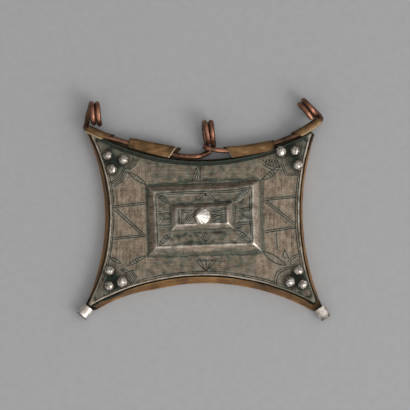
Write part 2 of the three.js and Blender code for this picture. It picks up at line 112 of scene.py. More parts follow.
def build(name, corners, faces, slot, node, crease=38, layers=None):
    """One piece from corners in millimetres. It rides on the case and stands for its node."""
    mesh = bpy.data.meshes.new(name)
    mesh.from_pydata([Vector(p) * 0.001 for p in corners], [], faces)
    for layer, values in (layers or {}).items():
        mesh.attributes.new(layer, "FLOAT", "POINT").data.foreach_set("value", values)
    shape = bmesh.new()
    shape.from_mesh(mesh)
    bmesh.ops.remove_doubles(shape, verts=shape.verts, dist=1e-6)
    bmesh.ops.recalc_face_normals(shape, faces=shape.faces)
    shape.to_mesh(mesh)
    shape.free()
    mesh.shade_smooth()
    mesh.set_sharp_from_angle(angle=math.radians(crease))
    piece = bpy.data.objects.new(name, mesh)
    bpy.context.scene.collection.objects.link(piece)
    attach(piece, "root")
    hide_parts(node)
    return piece


def build_rings(name, rings, slot, node, **more):
    """One piece whose skin joins closed rings of corners and is filled at both ends."""
    return build(name, [p for ring in rings for p in ring], rings_mesh(rings), slot, node, **more)


def bent(points, side):
    """The case's edge as it has been bent: its bottom edge is pushed up towards the lower left point."""
    if side != "bottom":
        return points
    return [p + Vector((0, pushed_up * unit((push_from - p.x) / push_over) ** 0.7)) for p in points]


def back_outline():
    """The sheet's edge with its two tongues, anticlockwise."""
    edge = []
    for side, (start, end) in sides.items():
        curve = side_curve(case_corners, case_bows, side, 0, (tip_cuts[start], tip_cuts[end]), 70)
        curve = bent(curve, side)
        edge += [p + Vector((waver(p.x, p.y, 3), waver(p.y, p.x, 3, 5))) * 0.07 for p in curve]
        if end in cap_mouths:
            way = Vector((math.cos(cap_aims[end]), math.sin(cap_aims[end])))
            across = Vector((-way.y, way.x)) * tongue_width / 2
            steps = [0.2, 0.6, 1.0, 1.6, tongue_length]
            edge += [cap_mouths[end] + way * s - across for s in steps]
            edge += [cap_mouths[end] + way * s + across for s in reversed(steps)]
    return edge


def sheet_shade(x, y):
    """Painted shade on the sheet: round the caps' mouths and at its upper right point."""
    from_cap = min((Vector((x, y)) - mouth).length for mouth in cap_mouths.values())
    return max(unit(1.9 - from_cap / 2.2), 0.8 * (x > 30 and y > 25))


def tongue_lift(p):
    """How far the sheet is bent up at a point, which is only on the tongues."""
    for corner, mouth in cap_mouths.items():
        way = Vector((math.cos(cap_aims[corner]), math.sin(cap_aims[corner])))
        if (p - mouth).length < tongue_length + tongue_width / 2:
            return tongue_rise * unit((p - mouth).dot(way) / tongue_bend)
    return 0


edge = back_outline()
grid_step = 1.7
grid = [(x * grid_step, y * grid_step) for x in range(-19, 20) for y in range(-11, 11)]
middle, middle_faces = flat_mesh(edge, [], grid)
under = [(p.x, p.y, tongue_lift(p) + 0.05 * abs(waver(p.x, p.y, 9, 2))) for p in middle]
upper = [(x, y, z + back_sheet) for x, y, z in under]
count = len(under)
rim_faces = []
order = {tuple(round(c, 3) for c in p): i for i, p in reversed(list(enumerate(middle)))}
edge_index = [order[tuple(round(c, 3) for c in p)] for p in edge]
for a, b in zip(edge_index, edge_index[1:] + edge_index[:1]):
    if a != b:
        rim_faces.append((a, b, b + count, a + count))
faces = middle_faces + [tuple(i + count for i in reversed(face)) for face in middle_faces] + rim_faces
back = build("back_sheet_copper", under + upper, faces, "copper_sheet", "back_plate",
             layers={"recess": [sheet_shade(x, y) for x, y, z in under + upper]})


class Shade:
    """A value in a finish's nodes. Sums written with it add Math nodes."""

    def __init__(self, nodes, socket):
        self.nodes, self.socket = nodes, socket

    def maths(self, operation, *terms, clamp=False):
        settings = {"operation": operation, "use_clamp": clamp}
        return self.nodes.add("ShaderNodeMath", settings, dict(enumerate(terms)))

    def __add__(self, other):
        return self.maths("ADD", self, other)

    def __sub__(self, other):
        return self.maths("SUBTRACT", self, other)

    def __rsub__(self, other):
        return self.maths("SUBTRACT", other, self)

    def __mul__(self, other):
        return self.maths("MULTIPLY", self, other)

    __radd__, __rmul__ = __add__, __mul__

    def held(self):
        """Kept between 0 and 1."""
        return self.maths("ADD", self, 0.0, clamp=True)

    def step(self, low, high, start=0.0, end=1.0):
        """Runs smoothly from `start` to `end` as the value goes from low to high."""
        ends = {"From Min": low, "From Max": high, "To Min": start, "To Max": end}
        settings = {"interpolation_type": "SMOOTHSTEP"}
        return self.nodes.add("ShaderNodeMapRange", settings, {"Value": self, **ends})


class Nodes:
    """The nodes of one finish or of the sky."""

    def __init__(self, tree):
        self.tree = tree
        tree.nodes.clear()

    def add(self, kind, settings, sockets, output=0):
        """A node of any kind: its settings are set first, then its sockets' values and links."""
        node = self.tree.nodes.new(kind)
        for name, value in settings.items():
            if name == "stops":
                while len(node.color_ramp.elements) < len(value):
                    node.color_ramp.elements.new(0.5)
                for element, (position, colour) in zip(node.color_ramp.elements, value):
                    element.position, element.color = position, (*colour, 1)
            else:
                setattr(node, name, value)
        for name, value in sockets.items():
            if isinstance(value, Shade):
                self.tree.links.new(value.socket, node.inputs[name])
            else:
                node.inputs[name].default_value = value
        return Shade(self, node.outputs[output]) if node.outputs else None


class Finish(Nodes):
    """One metal or hide finish, worked out from each point's own place in millimetres."""

    def __init__(self, name, metallic=1.0, specular=0.5):
        self.material = bpy.data.materials.new(name)
        self.material.use_nodes = True
        super().__init__(self.material.node_tree)
        self.amounts = {"Metallic": metallic, "Specular IOR Level": specular}
        here = self.add("ShaderNodeTexCoord", {}, {}, "Object")
        self.place = self.add("ShaderNodeVectorMath", {"operation": "SCALE"}, {0: here, "Scale": 1000.0})

    def grain(self, size, detail=3.0, stretch=(1, 1, 1), shift=0.0):
        """Noise between 0 and 1 whose marks are about `size` millimetres, drawn out by `stretch`."""
        scale = tuple(1 / (size * s) for s in stretch)
        moved = self.add("ShaderNodeMapping", {}, {"Vector": self.place, "Scale": scale,
                                                   "Location": (shift, shift * 1.7, shift * 0.6)})
        sockets = {"Vector": moved, "Scale": 1.0, "Detail": detail, "Roughness": 0.5}
        return self.add("ShaderNodeTexNoise", {"normalize": True}, sockets)

    def layer(self, name):
        """A value that the mesh carries at its corners."""
        return self.add("ShaderNodeAttribute", {"attribute_name": name}, {}, "Fac")

    def blend(self, share, under, over):
        """Colour `over` laid on `under` by `share`."""
        settings = {"data_type": "RGBA"}
        colours = [c if isinstance(c, Shade) else (*c, 1) for c in (under, over)]
        return self.add("ShaderNodeMix", settings, {0: share, 6: colours[0], 7: colours[1]}, 2)

    def wear(self, colour, roughness, height=None, depth=0.05):
        """Puts the colour, roughness and relief (depth in millimetres) on the surface."""
        sockets = {**self.amounts, "Base Color": colour, "Roughness": roughness}
        if height:
            bump = {"Strength": 1.0, "Distance": depth * 0.001, "Height": height}
            sockets["Normal"] = self.add("ShaderNodeBump", {}, bump, "Normal")
        skin = self.add("ShaderNodeBsdfPrincipled", {}, sockets)
        self.add("ShaderNodeOutputMaterial", {}, {"Surface": skin})

    def paint(self, *pieces):
        for piece in pieces:
            piece.data.materials.clear()
            piece.data.materials.append(self.material)


copper = Finish("aged_copper_sheet", metallic=0.85)
cloud = copper.grain(5.5, 4)
streak = copper.grain(1.0, 3, stretch=(4, 4, 0.5), shift=3.0)
speck = copper.grain(0.35, 2, shift=8.0)
tone = copper.add("ShaderNodeValToRGB", {"stops": [
    (0.32, (0.07, 0.036, 0.016)), (0.45, (0.26, 0.13, 0.048)), (0.56, (0.43, 0.23, 0.088)),
    (0.7, (0.56, 0.34, 0.165))]}, {"Fac": (cloud * 0.55 + streak * 0.25 + speck * 0.2).held()})
tarnish_and_shade = copper.blend(speck.step(0.55, 0.75, 0.0, 0.55), tone, (0.11, 0.07, 0.035))
# The layer blends in near-black: painted shade where the pieces carry it, and the bottom band's darker ends.
tarnish_and_shade = copper.blend(copper.layer("recess").held(), tarnish_and_shade, (0.020, 0.020, 0.013))
copper.wear(tarnish_and_shade, cloud.step(0.2, 0.8, 0.34, 0.6), streak * 0.6 + speck * 0.4, 0.03)
copper.paint(back)


# Side bands: four strips of the same copper, each cut to length, leaning in from the back sheet to just
# outside the silver pan. Their upper edges are filed level, and they carry painted shade in places.
pan_corners = {"tl": (-37.8, 27.6), "tr": (35.7, 27.7), "br": (37.0, -29.4), "bl": (-38.4, -30.4)}
pan_bows = {"bottom": 10.0, "right": 5.0, "top": 9.9, "left": 7.2}
rim_width, rim_gap = 0.8, 0.25
band_top, band_sheet, band_inset, band_short = 4.2, 0.35, 0.15, 0.8
# Painted shade at each corner of a band's section, from its foot over its upper edge to its inner face.
section_shade = [0, 0, 0, 0, 0, 0.1, 0.35, 1, 1, 1]
# The top band lies under the wire: patina and painted shade darken it nearly all over.
top_section_shade_and_patina = [0.9, 0.9, 0.9, 0.9, 0.9, 0.85, 0.95, 1, 1, 1]

bands = []
for side, ends in sides.items():
    cuts = [tip_cuts[corner] + band_short for corner in ends]
    apart = [(Vector(case_corners[c]) - Vector(pan_corners[c])).length for c in ends]
    pan_cuts = [cut - gap for cut, gap in zip(cuts, apart)]
    steps = 130
    foot = side_curve(case_corners, case_bows, side, -band_inset, cuts, steps)
    foot_in = side_curve(case_corners, case_bows, side, -band_inset - band_sheet, cuts, steps)
    foot, foot_in = bent(foot, side), bent(foot_in, side)
    head_out = rim_width / 2 + rim_gap
    head = side_curve(pan_corners, pan_bows, side, head_out + band_sheet, pan_cuts, steps)
    head_in = side_curve(pan_corners, pan_bows, side, head_out, pan_cuts, steps)
    rings = []
    for i in range(steps + 1):
        file_cut = 0.05 * waver(head[i].x, head[i].y, 1.6, 4) + 0.05 * waver(head[i].x, head[i].y, 6, 9)
        dent = 0.10 * waver(foot[i].x, foot[i].y, 7, 1) + 0.04 * waver(foot[i].x, foot[i].y, 2, 6)
        side_way = (foot[i] - foot_in[i]).normalized()
        ring = [(*foot[i], back_sheet)]
        for k in (0.2, 0.4, 0.6, 0.8):
            p = foot[i].lerp(head[i], k) + side_way * dent * math.sin(math.pi * k)
            ring.append((*p, back_sheet + (band_top - back_sheet) * k))
        ring.append((*foot[i].lerp(head[i], 0.975), band_top - 0.08 + file_cut))
        ring.append((*head[i].lerp(head_in[i], 0.25), band_top + file_cut))
        ring.append((*head[i].lerp(head_in[i], 0.8), band_top + file_cut))
        ring.append((*head_in[i].lerp(foot_in[i], 0.02), band_top - 0.06 + file_cut))
        ring.append((*foot_in[i], back_sheet))
        rings.append(ring)
    recess = []
    for i, p in enumerate(head):
        # Painted shade at the ends near the lower points, at the upper right point and along the left band;
        # the bottom band also darkens towards both ends.
        at_end = unit(1.6 - min(i, steps - i) * 0.2) * (p.y < 0)
        painted_shade = max(at_end, 0.9 * (p.x > 30 and p.y > 22), 0.55 * (side == "left"))
        smoked = max(0.85 * unit((-16 - p.x) / 8), 0.6 * unit((p.x - 14) / 6)) * (side == "bottom")
        smoked *= 0.75 + 0.8 * waver(p.x, p.y, 4, 33)
        recess += [max(dark, painted_shade * (0.3 if k < 5 else 1), smoked * max(0, k - 1) / 3 if k < 8 else 0)
                   for k, dark in enumerate(top_section_shade_and_patina if side == "top" else section_shade)]
    bands.append(build_rings(f"side_band_{side}", rings, "copper_sheet", f"band_{side}",
                             layers={"recess": recess}))
copper.paint(*bands)


# Front pan: one silver sheet, raised from behind in two rectangular steps with sloping sides, turned up
# into a lip along its edge and down inside the bands. The pattern is cut with a graver and darkened.
pan_tip_cuts = {"tl": 1.3, "tr": 1.3, "br": 1.5, "bl": 1.6}
field_z, rim_rise, pan_sheet, flange_foot = 4.3, 0.4, 0.5, 0.9
tier_turn = math.radians(2.3)
outer_tier = {"centre": (0.05, -1.2), "base": (37.7, 23.5), "top": (32.6, 18.8), "rise": 2.2}
inner_tier = {"centre": (-0.65, -0.95), "base": (20.9, 9.0), "top": (17.2, 5.7), "rise": 2.3}
graver_width, graver_depth, burr_width, burr = 0.13, 0.12, 0.11, 0.03
wing_from, wing_blend = 17.5, 3.0


def tier_place(tier, u, v):
    """Plan place of a point given along and across a tier."""
    x = tier["centre"][0] + u * math.cos(tier_turn) - v * math.sin(tier_turn)
    y = tier["centre"][1] + u * math.sin(tier_turn) + v * math.cos(tier_turn)
    return (x, y)


def bow_line(a, b, bulge, steps=8):
    """A shallow curve from a to b, bulging to its left by a share of its length."""
    a, b = Vector(a), Vector(b)
    middle = (a + b) / 2 + Vector((a.y - b.y, b.x - a.x)) * bulge * 2
    return [a.lerp(middle, t).lerp(middle.lerp(b, t), t) for t in (i / steps for i in range(steps + 1))]


def leaf(a, b, left, right, veins=0):
    """A pointed leaf from a to b, with short cross cuts between its two edges."""
    edges = [bow_line(a, b, left), bow_line(a, b, -right)]
    cross = [[edges[0][k].lerp(edges[1][k], 0.2), edges[0][k].lerp(edges[1][k], 0.8)]
             for k in range(2, 2 + veins)]
    return edges + cross


def doubled(a, b, gap):
    """Two parallel cuts from a to b, `gap` apart."""
    a, b = Vector(a), Vector(b)
    off = Vector((a.y - b.y, b.x - a.x)).normalized() * gap / 2
    return [[a + off, b + off], [a - off, b - off]]


def zigzag(a, b, width, teeth):
    """A zigzag from a to b with teeth of the given width."""
    a, b = Vector(a), Vector(b)
    off = Vector((a.y - b.y, b.x - a.x)).normalized() * width / 2
    return [[a.lerp(b, i / teeth) + (off if i % 2 else -off) for i in range(teeth + 1)]]


field_cuts = [
    *doubled((-30.2, 2.85), (-19.4, 4.0), 0.6), *doubled((-30.1, -7.9), (-19.4, -6.8), 0.6),
    *doubled((-29.2, 1.7), (-20.6, -6.3), 0.75),
    *doubled((20.2, 5.2), (30.6, 6.2), 0.6), *doubled((20.4, -5.6), (30.2, -4.1), 0.62),
    *doubled((20.9, 4.5), (29.9, -2.9), 0.7), [(24.1, -6.0), (24.3, -11.2)],
    [(26.8, -11.7), (26.2, -14.2), (28.2, -14.6), (26.8, -11.7)],
    # Leaves from the tier's corners towards the granules.
    *leaf((-25.3, 14.4), (-19.2, 10.2), 0.1, 0.09, 5), *leaf((19.0, 11.5), (25.3, 16.9), 0.06, 0.16, 5),
    *leaf((19.6, -12.1), (27.2, -16.9), 0.09, 0.14), *leaf((-25.7, -17.2), (-19.3, -13.7), 0.1, 0.08, 5),
    *leaf((-31.5, -14.0), (-27.5, -16.2), 0.12, 0.12, 3),
    # Bands of curved cuts round each cluster of granules.
    *[bow_line((-31.4 + k * 0.45, 10.9 - k * 0.5), (-26.7 + k * 0.42, 15.7 - k * 0.35), -0.1)
      for k in range(4)],
    *[bow_line((-26.3 + k * 0.5, 15.6 - k * 0.1), (-23.5 + k * 0.5, 19.4 - k * 0.25), -0.14)
      for k in range(4)],
    *zigzag((20.3, 17.6), (25.0, 17.5), 2.0, 10), bow_line((19.6, 18.5), (25.4, 16.0), -0.12),
    bow_line((19.2, 17.6), (24.9, 15.2), -0.12),
    [(25.6, 17.2), (27.0, 13.6), (28.2, 13.2), (31.4, 13.4)],
    [(26.2, 17.4), (27.5, 14.2), (28.4, 13.8), (31.5, 14.0)],
    [(23.4, -23.0), (23.6, -20.4), (24.5, -19.0), (26.5, -17.7), (28.9, -17.3)],
    [(24.1, -22.8), (24.3, -20.7), (25.1, -19.5), (26.9, -18.3), (28.9, -17.9)],
    [(28.0, -15.6), (28.9, -14.2), (29.9, -13.6), (32.0, -13.0)],
    [(28.7, -15.9), (29.4, -14.8), (30.2, -14.2), (32.2, -13.7)],
    *[[(-26.2 + k * 0.5, -20.1 + k * 0.25), (-24.3 + k * 0.42, -23.4 + k * 0.45)] for k in range(6)],
    bow_line((-26.6, -20.0), (-23.2, -18.6), 0.1),
    *[[(-26.9, -18.4), (-26.9 + 0.95 * math.cos(k), -18.4 + 0.95 * math.sin(k))] for k in range(6)],
    # Triangle and stippled foot above the tiers, and a fan below them.
    [(-4.0, 11.8), (-2.7, 15.9), (-1.3, 12.3)], [(-3.2, 11.9), (-2.6, 14.4), (-2.1, 12.0)],
    [(-2.2, 17.4), (-2.1, 16.2)], [(-1.5, 17.4), (-1.2, 12.4)],
    *zigzag((-4.4, 11.45), (4.6, 11.8), 0.55, 22), *zigzag((-0.6, 12.2), (4.4, 12.4), 0.5, 12),
    *[[(0.7, -19.0), (x, -14.7)] for x in (-3.3, -1.6, 0.6, 2.8, 4.5)],
    *zigzag((-2.6, -15.3), (3.8, -15.2), 0.6, 14),
]
outer_cuts = [
    [(-15.5, 8.85), (15.6, 8.85)], [(-13.6, 8.25), (13.4, 8.2)], [(-15.3, -8.75), (15.4, -8.8)],
    [(-15.7, 8.4), (-15.7, -8.3)], [(15.7, 8.3), (15.7, -8.4)], [(15.15, 6.0), (15.15, -6.4)],
    *leaf((-15.4, 8.5), (-11.0, 5.1), 0.14, 0.14, 5), *leaf((15.4, 8.5), (10.0, 5.2), 0.08, 0.14, 4),
    *leaf((-15.4, -8.5), (-11.3, -4.9), 0.14, 0.16, 5), *leaf((15.3, -8.6), (9.6, -4.4), 0.12, 0.14, 6),
    *doubled((-15.2, 2.4), (-11.2, 2.6), 0.6), *doubled((-15.2, -2.6), (-11.2, -2.3), 0.6),
    *zigzag((-15.0, 1.75), (-11.3, 1.9), 0.5, 9), *zigzag((-15.0, -1.9), (-11.3, -1.7), 0.5, 9),
    *zigzag((-15.0, -0.2), (-11.4, 0.1), 0.8, 6),
    *doubled((10.9, 2.3), (15.6, 2.6), 0.6), *doubled((10.9, -2.6), (15.6, -2.2), 0.6),
    *zigzag((11.2, -1.9), (15.4, -1.6), 0.5, 10), *doubled((11.6, 1.2), (15.3, -1.3), 0.5),
    *zigzag((11.5, 1.6), (15.0, 1.8), 0.5, 8),
    [(-1.9, 5.7), (0.8, 8.1), (3.1, 5.6)], *[[(0.8, 8.0), (x, 5.5)] for x in (-0.7, 0.6, 1.9)],
    *zigzag((4.6, 5.2), (9.5, 5.1), 0.55, 14), *zigzag((-9.6, 5.25), (-2.6, 5.2), 0.4, 14),
    [(-2.3, -5.6), (0.1, -8.3), (3.1, -5.7)], *[[(0.1, -8.2), (x, -5.5)] for x in (-1.0, 0.3, 1.6)],
]
inner_cuts = [
    [(-8.1, 2.5), (-2.5, 2.5)], [(-8.1, -2.45), (-2.4, -2.45)], [(2.6, 2.5), (8.1, 2.5)],
    [(2.6, -2.45), (8.1, -2.45)], *doubled((-6.5, 2.4), (-6.5, -2.4), 0.45), [(8.05, 2.5), (8.0, -2.5)],
    *zigzag((-7.7, 2.3), (-7.7, -2.3), 0.5, 12), *doubled((6.5, 2.4), (6.4, -2.4), 0.4),
    *[[(6.8, y), (7.9, y)] for y in (1.7, 0.9, 0.1, -0.7, -1.5)],
    [(-5.9, 1.9), (-3.4, 2.0), (-5.9, -2.1)], [(-5.9, 1.4), (-4.3, 1.45), (-6.0, -1.3)],
    [(-5.4, -2.1), (-3.1, 0.9)], [(-4.6, -2.1), (-2.9, 0.0)],
    [(3.2, 2.0), (6.0, 1.6), (3.3, 1.2), (6.0, 0.8)], [(3.2, 0.4), (6.0, -0.1), (3.3, -0.6)],
    [(3.3, -0.9), (6.0, -1.4), (3.3, -1.9)], [(4.0, -2.1), (6.0, -2.0)],
]
border_cuts = [side_curve(pan_corners, pan_bows, side, -1.0, [7.5, 7.5], 60) for side in sides]
engraving = field_cuts + border_cuts
for tier, cuts in ((outer_tier, outer_cuts), (inner_tier, inner_cuts)):
    engraving += [[tier_place(tier, *p) for p in line] for line in cuts]


# Dark green patches of old tarnish and dirt: their two ends, half width and how dark they are.
grime_strokes = [
    ((-18.3, 10.2), (-6.0, 11.0), 0.43, 0.8), ((-6.0, 11.6), (17.3, 11.9), 0.67, 0.8),
    ((-19.0, 9.8), (-18.5, -13.8), 0.38, 0.75), ((19.4, 10.8), (19.7, -11.8), 0.27, 0.7),
    ((-18.0, -14.0), (19.3, -13.0), 0.37, 0.8), ((-21.7, -17.8), (-17.3, -19.2), 1.00, 0.45),
    ((-13.7, -19.7), (2.0, -20.0), 0.33, 0.7), ((-17.3, -15.8), (-1.3, -17.2), 1.00, 0.3),
    ((-18.0, 15.2), (15.3, 15.9), 2.33, 0.3), ((28.7, 3.1), (29.0, -4.3), 1.00, 0.15),
    ((-15.3, -12.4), (-10.7, -12.9), 0.53, 0.6), ((-6.7, -12.9), (-1.3, -13.3), 0.53, 0.35),
    ((2.7, -12.4), (10.7, -11.9), 0.67, 0.65), ((16.3, -11.9), (18.7, -12.4), 0.60, 0.75),
    ((-18.1, 9.6), (-17.7, -13.3), 0.40, 0.15), ((18.6, 10.7), (18.8, -11.3), 0.23, 0.5),
    ((-15.3, 6.6), (-11.3, 3.4), 0.60, 0.75), ((10.0, 4.6), (14.3, 8.0), 0.47, 0.95),
    ((13.0, 5.8), (15.3, 8.1), 0.23, 0.7), ((-15.2, 0.4), (-11.7, 1.6), 0.73, 0.6),
    ((-15.2, -1.3), (-12.0, -2.0), 0.67, 0.5), ((-15.2, -4.7), (-11.7, -3.8), 0.60, 0.7),
    ((-14.5, -9.9), (-11.3, -7.4), 0.43, 0.9), ((9.7, -5.4), (15.0, -9.4), 0.53, 0.8),
    ((10.3, 1.9), (15.7, 1.9), 0.43, 0.85), ((11.7, 0.4), (15.7, -2.0), 0.33, 0.7),
    ((10.3, -3.3), (16.2, -2.8), 0.33, 0.75), ((10.2, 2.4), (10.5, -3.7), 0.50, 0.7),
    ((-1.7, 4.8), (3.0, 4.8), 0.60, 0.8), ((0.5, 6.8), (0.7, 5.4), 0.67, 0.7),
    ((3.3, 4.6), (9.3, 4.4), 0.67, 0.9), ((-10.3, 3.9), (-3.0, 4.1), 0.47, 0.7),
    ((-13.0, 7.5), (10.7, 8.1), 0.27, 0.6), ((-2.7, -6.4), (0.0, -8.7), 0.53, 0.8),
    ((0.3, -7.4), (2.7, -6.4), 0.50, 0.7), ((-9.7, -7.5), (-4.0, -7.2), 0.40, 0.8),
    ((-0.3, -6.0), (8.0, -5.7), 0.67, 0.6), ((-8.7, -9.9), (4.7, -9.9), 0.27, 0.8),
    ((-11.2, 1.9), (-11.2, -4.8), 0.53, 0.7), ((-9.0, -5.9), (-4.7, -5.3), 0.50, 0.55),
    ((-3.0, -5.2), (8.0, -5.0), 0.60, 0.5), ((-9.3, 2.9), (-1.3, 3.1), 0.40, 0.4),
    ((-8.7, 0.7), (-8.0, -3.3), 0.40, 0.9), ((-7.7, 1.0), (-4.0, 1.0), 0.27, 0.8),
    ((-6.7, -3.0), (-4.7, -1.0), 0.30, 0.8), ((2.3, 0.4), (7.0, 1.6), 0.33, 0.85),
    ((2.3, -1.0), (6.0, -2.0), 0.33, 0.8), ((5.7, 1.0), (6.0, -3.0), 0.30, 0.8),
    ((7.0, 1.7), (7.3, -3.3), 0.27, 1), ((-15.1, -12.3), (-6.8, -12.3), 0.75, 0.62),
    ((2.5, -12.7), (18.5, -12.1), 0.75, 0.58), ((16.8, -12.0), (19.0, -12.1), 0.8, 0.75),
    ((-10.0, -7.3), (-4.3, -7.2), 0.60, 0.6), ((-4.3, -6.2), (10.0, -5.7), 1.00, 0.6),
    ((2.8, -5.3), (9.1, -5.1), 0.60, 0.65),
]


def waver_all(x, y, span, seed=0.0):
    """`waver` at each of many points."""
    return np.array([waver(p, q, span, seed) for p, q in zip(x, y)])


def grime_share(x, y):
    """How far the sheet is covered by the dark patches at each point."""
    most = np.zeros(len(x))
    ragged = 1 + 0.9 * waver_all(x, y, 1.3, 51) + 0.5 * waver_all(x, y, 0.6, 57)
    x, y = x + 0.5 * waver_all(x, y, 2.4, 61), y + 0.5 * waver_all(x, y, 2.4, 67)
    for (ax, ay), (bx, by), half, share in grime_strokes:
        bx, by = bx - ax, by - ay
        along = np.clip(((x - ax) * bx + (y - ay) * by) / (bx * bx + by * by), 0, 1)
        away = np.hypot(x - ax - along * bx, y - ay - along * by)
        most = np.maximum(most, share * np.exp(-(away / (1.35 * half * np.clip(ragged, 0.3, 2))) ** 2.5))
    return most


def resample(line, step):
    """The same line with corners about `step` apart."""
    points = [Vector(line[0])]
    for a, b in zip(line, line[1:]):
        a, b = Vector(a), Vector(b)
        count = max(1, round((b - a).length / step))
        points += [a.lerp(b, i / count) for i in range(1, count + 1)]
    return points


def groove_lines(line):
    """The two edges and the bottom of one cut, and corners just outside its burr."""
    points = resample(line, 0.45)
    ends = [points[0] + (points[0] - points[1]).normalized() * graver_width,
            points[-1] + (points[-1] - points[-2]).normalized() * graver_width]
    left, right, loose = [], [], []
    for i, p in enumerate(points):
        along = (points[min(i + 1, len(points) - 1)] - points[max(i - 1, 0)]).normalized()
        off = Vector((-along.y, along.x))
        left.append(p + off * graver_width)
        right.append(p - off * graver_width)
        loose += [p + off * (graver_width + burr_width), p - off * (graver_width + burr_width)]
    bottom = [ends[0], *points, ends[1]]
    return [bottom, [ends[0], *left, ends[1]], [ends[0], *right, ends[1]]], loose


lip_steps = 150


def lip_ring(out):
    """The pan's outline moved out from the crest of its lip."""
    ring = []
    for side, ends in sides.items():
        cuts = [pan_tip_cuts[corner] - 3 * out for corner in ends]
        ring += side_curve(pan_corners, pan_bows, side, out, cuts, lip_steps)
    return ring


def tier_lines(tier):
    """Rectangles along a tier's foot, slope and edge, and the four hips that join their corners."""
    lines, hips = [], [[], [], [], []]
    for climb in (-0.22, -0.1, 0, 0.1, 0.22, 0.42, 0.6, 0.78, 0.9, 1, 1.1, 1.22):
        u, v = (base / 2 + (top / 2 - base / 2) * climb for base, top in zip(tier["base"], tier["top"]))
        corners = [(-u, -v), (u, -v), (u, v), (-u, v)]
        places = [tier_place(tier, *corner) for corner in corners]
        for hip, place in zip(hips, places):
            hip.append(place)
        lines.append(resample(places + places[:1], 0.6))
    return lines + hips


def soft_least(a, b, blend):
    """The lesser of two values, with the step between them rounded over `blend`."""
    near = np.maximum(blend - np.abs(a - b), 0) / blend
    return np.minimum(a, b) - near * near * blend / 4


def on_tier(tier, x, y):
    """Places given along and across a tier."""
    dx, dy = x - tier["centre"][0], y - tier["centre"][1]
    return (dx * math.cos(tier_turn) + dy * math.sin(tier_turn),
            dy * math.cos(tier_turn) - dx * math.sin(tier_turn))


def slope_shares(tier, x, y):
    """How far up a tier's end and long slopes each point stands, each taken alone."""
    return [(base / 2 - np.abs(at)) / ((base - top) / 2)
            for at, base, top in zip(on_tier(tier, x, y), tier["base"], tier["top"])]


def tier_climb(tier, x, y):
    """How far up a tier each point stands, from 0 at its foot to 1 on its top, before rounding."""
    return soft_least(*slope_shares(tier, x, y), 0.22)


def tier_hips(tier, x, y):
    """How far each point lies from a tier's nearest hip, and whether that hip is a lower or a right one."""
    u, v = on_tier(tier, x, y)
    end_share, long_share = slope_shares(tier, x, y)
    return end_share - long_share, v < 0, u > 0


def tier_height(tier, x, y):
    climb = soft_least(tier_climb(tier, x, y), 1, 0.2)
    return tier["rise"] * -soft_least(-climb, 0, 0.2)


def cut_distance(x, y):
    """Distance from each point to the edge of the nearest cut, less than 0 inside it."""
    nearest = np.full(len(x), 9.0)
    for line in engraving:
        for a, b in zip(line, line[1:]):
            ax, ay, bx, by = a[0], a[1], b[0] - a[0], b[1] - a[1]
            share = np.clip(((x - ax) * bx + (y - ay) * by) / (bx * bx + by * by), 0, 1)
            away = np.hypot(x - ax - share * bx, y - ay - share * by)
            nearest = np.minimum(nearest, away)
    return nearest - graver_width


def planished(x, y):
    """The sheet's hammered unevenness."""
    return 0.055 * waver(x, y, 7) + 0.02 * waver(x, y, 2.1, 3)


def hand_drawn(x, y):
    """Carries a drawn place to where the hand put it. The lower step's upper right corner is drawn out."""
    corner_x, corner_y, spread = 16.2, 8.9, 4.0
    pull = math.exp(-((x - corner_x) ** 2 + (y - corner_y) ** 2) / spread ** 2)
    return x + 0.13 * waver(x, y, 6, 11) + 0.4 * pull, y + 0.13 * waver(x, y, 6, 17) + 0.8 * pull


inner_edge = lip_ring(-rim_width / 2)
cut_lines, loose_points = [], []
for line in engraving:
    lines, loose = groove_lines(line)
    cut_lines += lines
    loose_points += loose
tier_edges = tier_lines(outer_tier) + tier_lines(inner_tier)
dots = np.array([(x * 0.8 + 0.25 * (y % 2), y * 0.8) for x in range(-48, 48) for y in range(-40, 38)])
clear = cut_distance(dots[:, 0], dots[:, 1]) > 0.35
fill_points = [tuple(p) for p in dots[clear]]
for a, b, half, share in grime_strokes:
    a, b = Vector(a), Vector(b)
    off = Vector((a.y - b.y, b.x - a.x)).normalized() * half
    across = (-1.6, -1.1, -0.5, 0, 0.5, 1.1, 1.6)
    spread = np.array([tuple(p + off * k) for p in resample([a, b], 0.4) for k in across])
    fill_points += [tuple(p) for p in spread[cut_distance(spread[:, 0], spread[:, 1]) > 0.15]]


def inside(p, ring):
    """Whether a place lies inside a closed ring."""
    hit = False
    for a, b in zip(ring, ring[1:] + ring[:1]):
        if (a.y > p[1]) != (b.y > p[1]) and p[0] < (b.x - a.x) * (p[1] - a.y) / (b.y - a.y) + a.x:
            hit = not hit
    return hit


lip_guard = lip_ring(-rim_width / 2 - 0.3)
fill_points = [p for p in fill_points if inside(p, lip_guard)]
plan, plan_faces = flat_mesh(inner_edge, cut_lines + tier_edges, fill_points + loose_points)
px, py = np.array([p.x for p in plan]), np.array([p.y for p in plan])
from_cut = cut_distance(px, py)
in_cut = np.clip(-from_cut / graver_width, 0, 1)
relief = np.where(from_cut < 0, burr - (graver_depth + burr) * in_cut,
                  burr * np.clip(1 - from_cut / burr_width, 0, 1))
pz = field_z + tier_height(outer_tier, px, py) + tier_height(inner_tier, px, py) + relief
pz = pz + np.array([planished(x, y) for x, y in zip(px, py)])
corners = [(*hand_drawn(x, y), z) for x, y, z in zip(px, py, pz)]
faces = list(plan_faces)

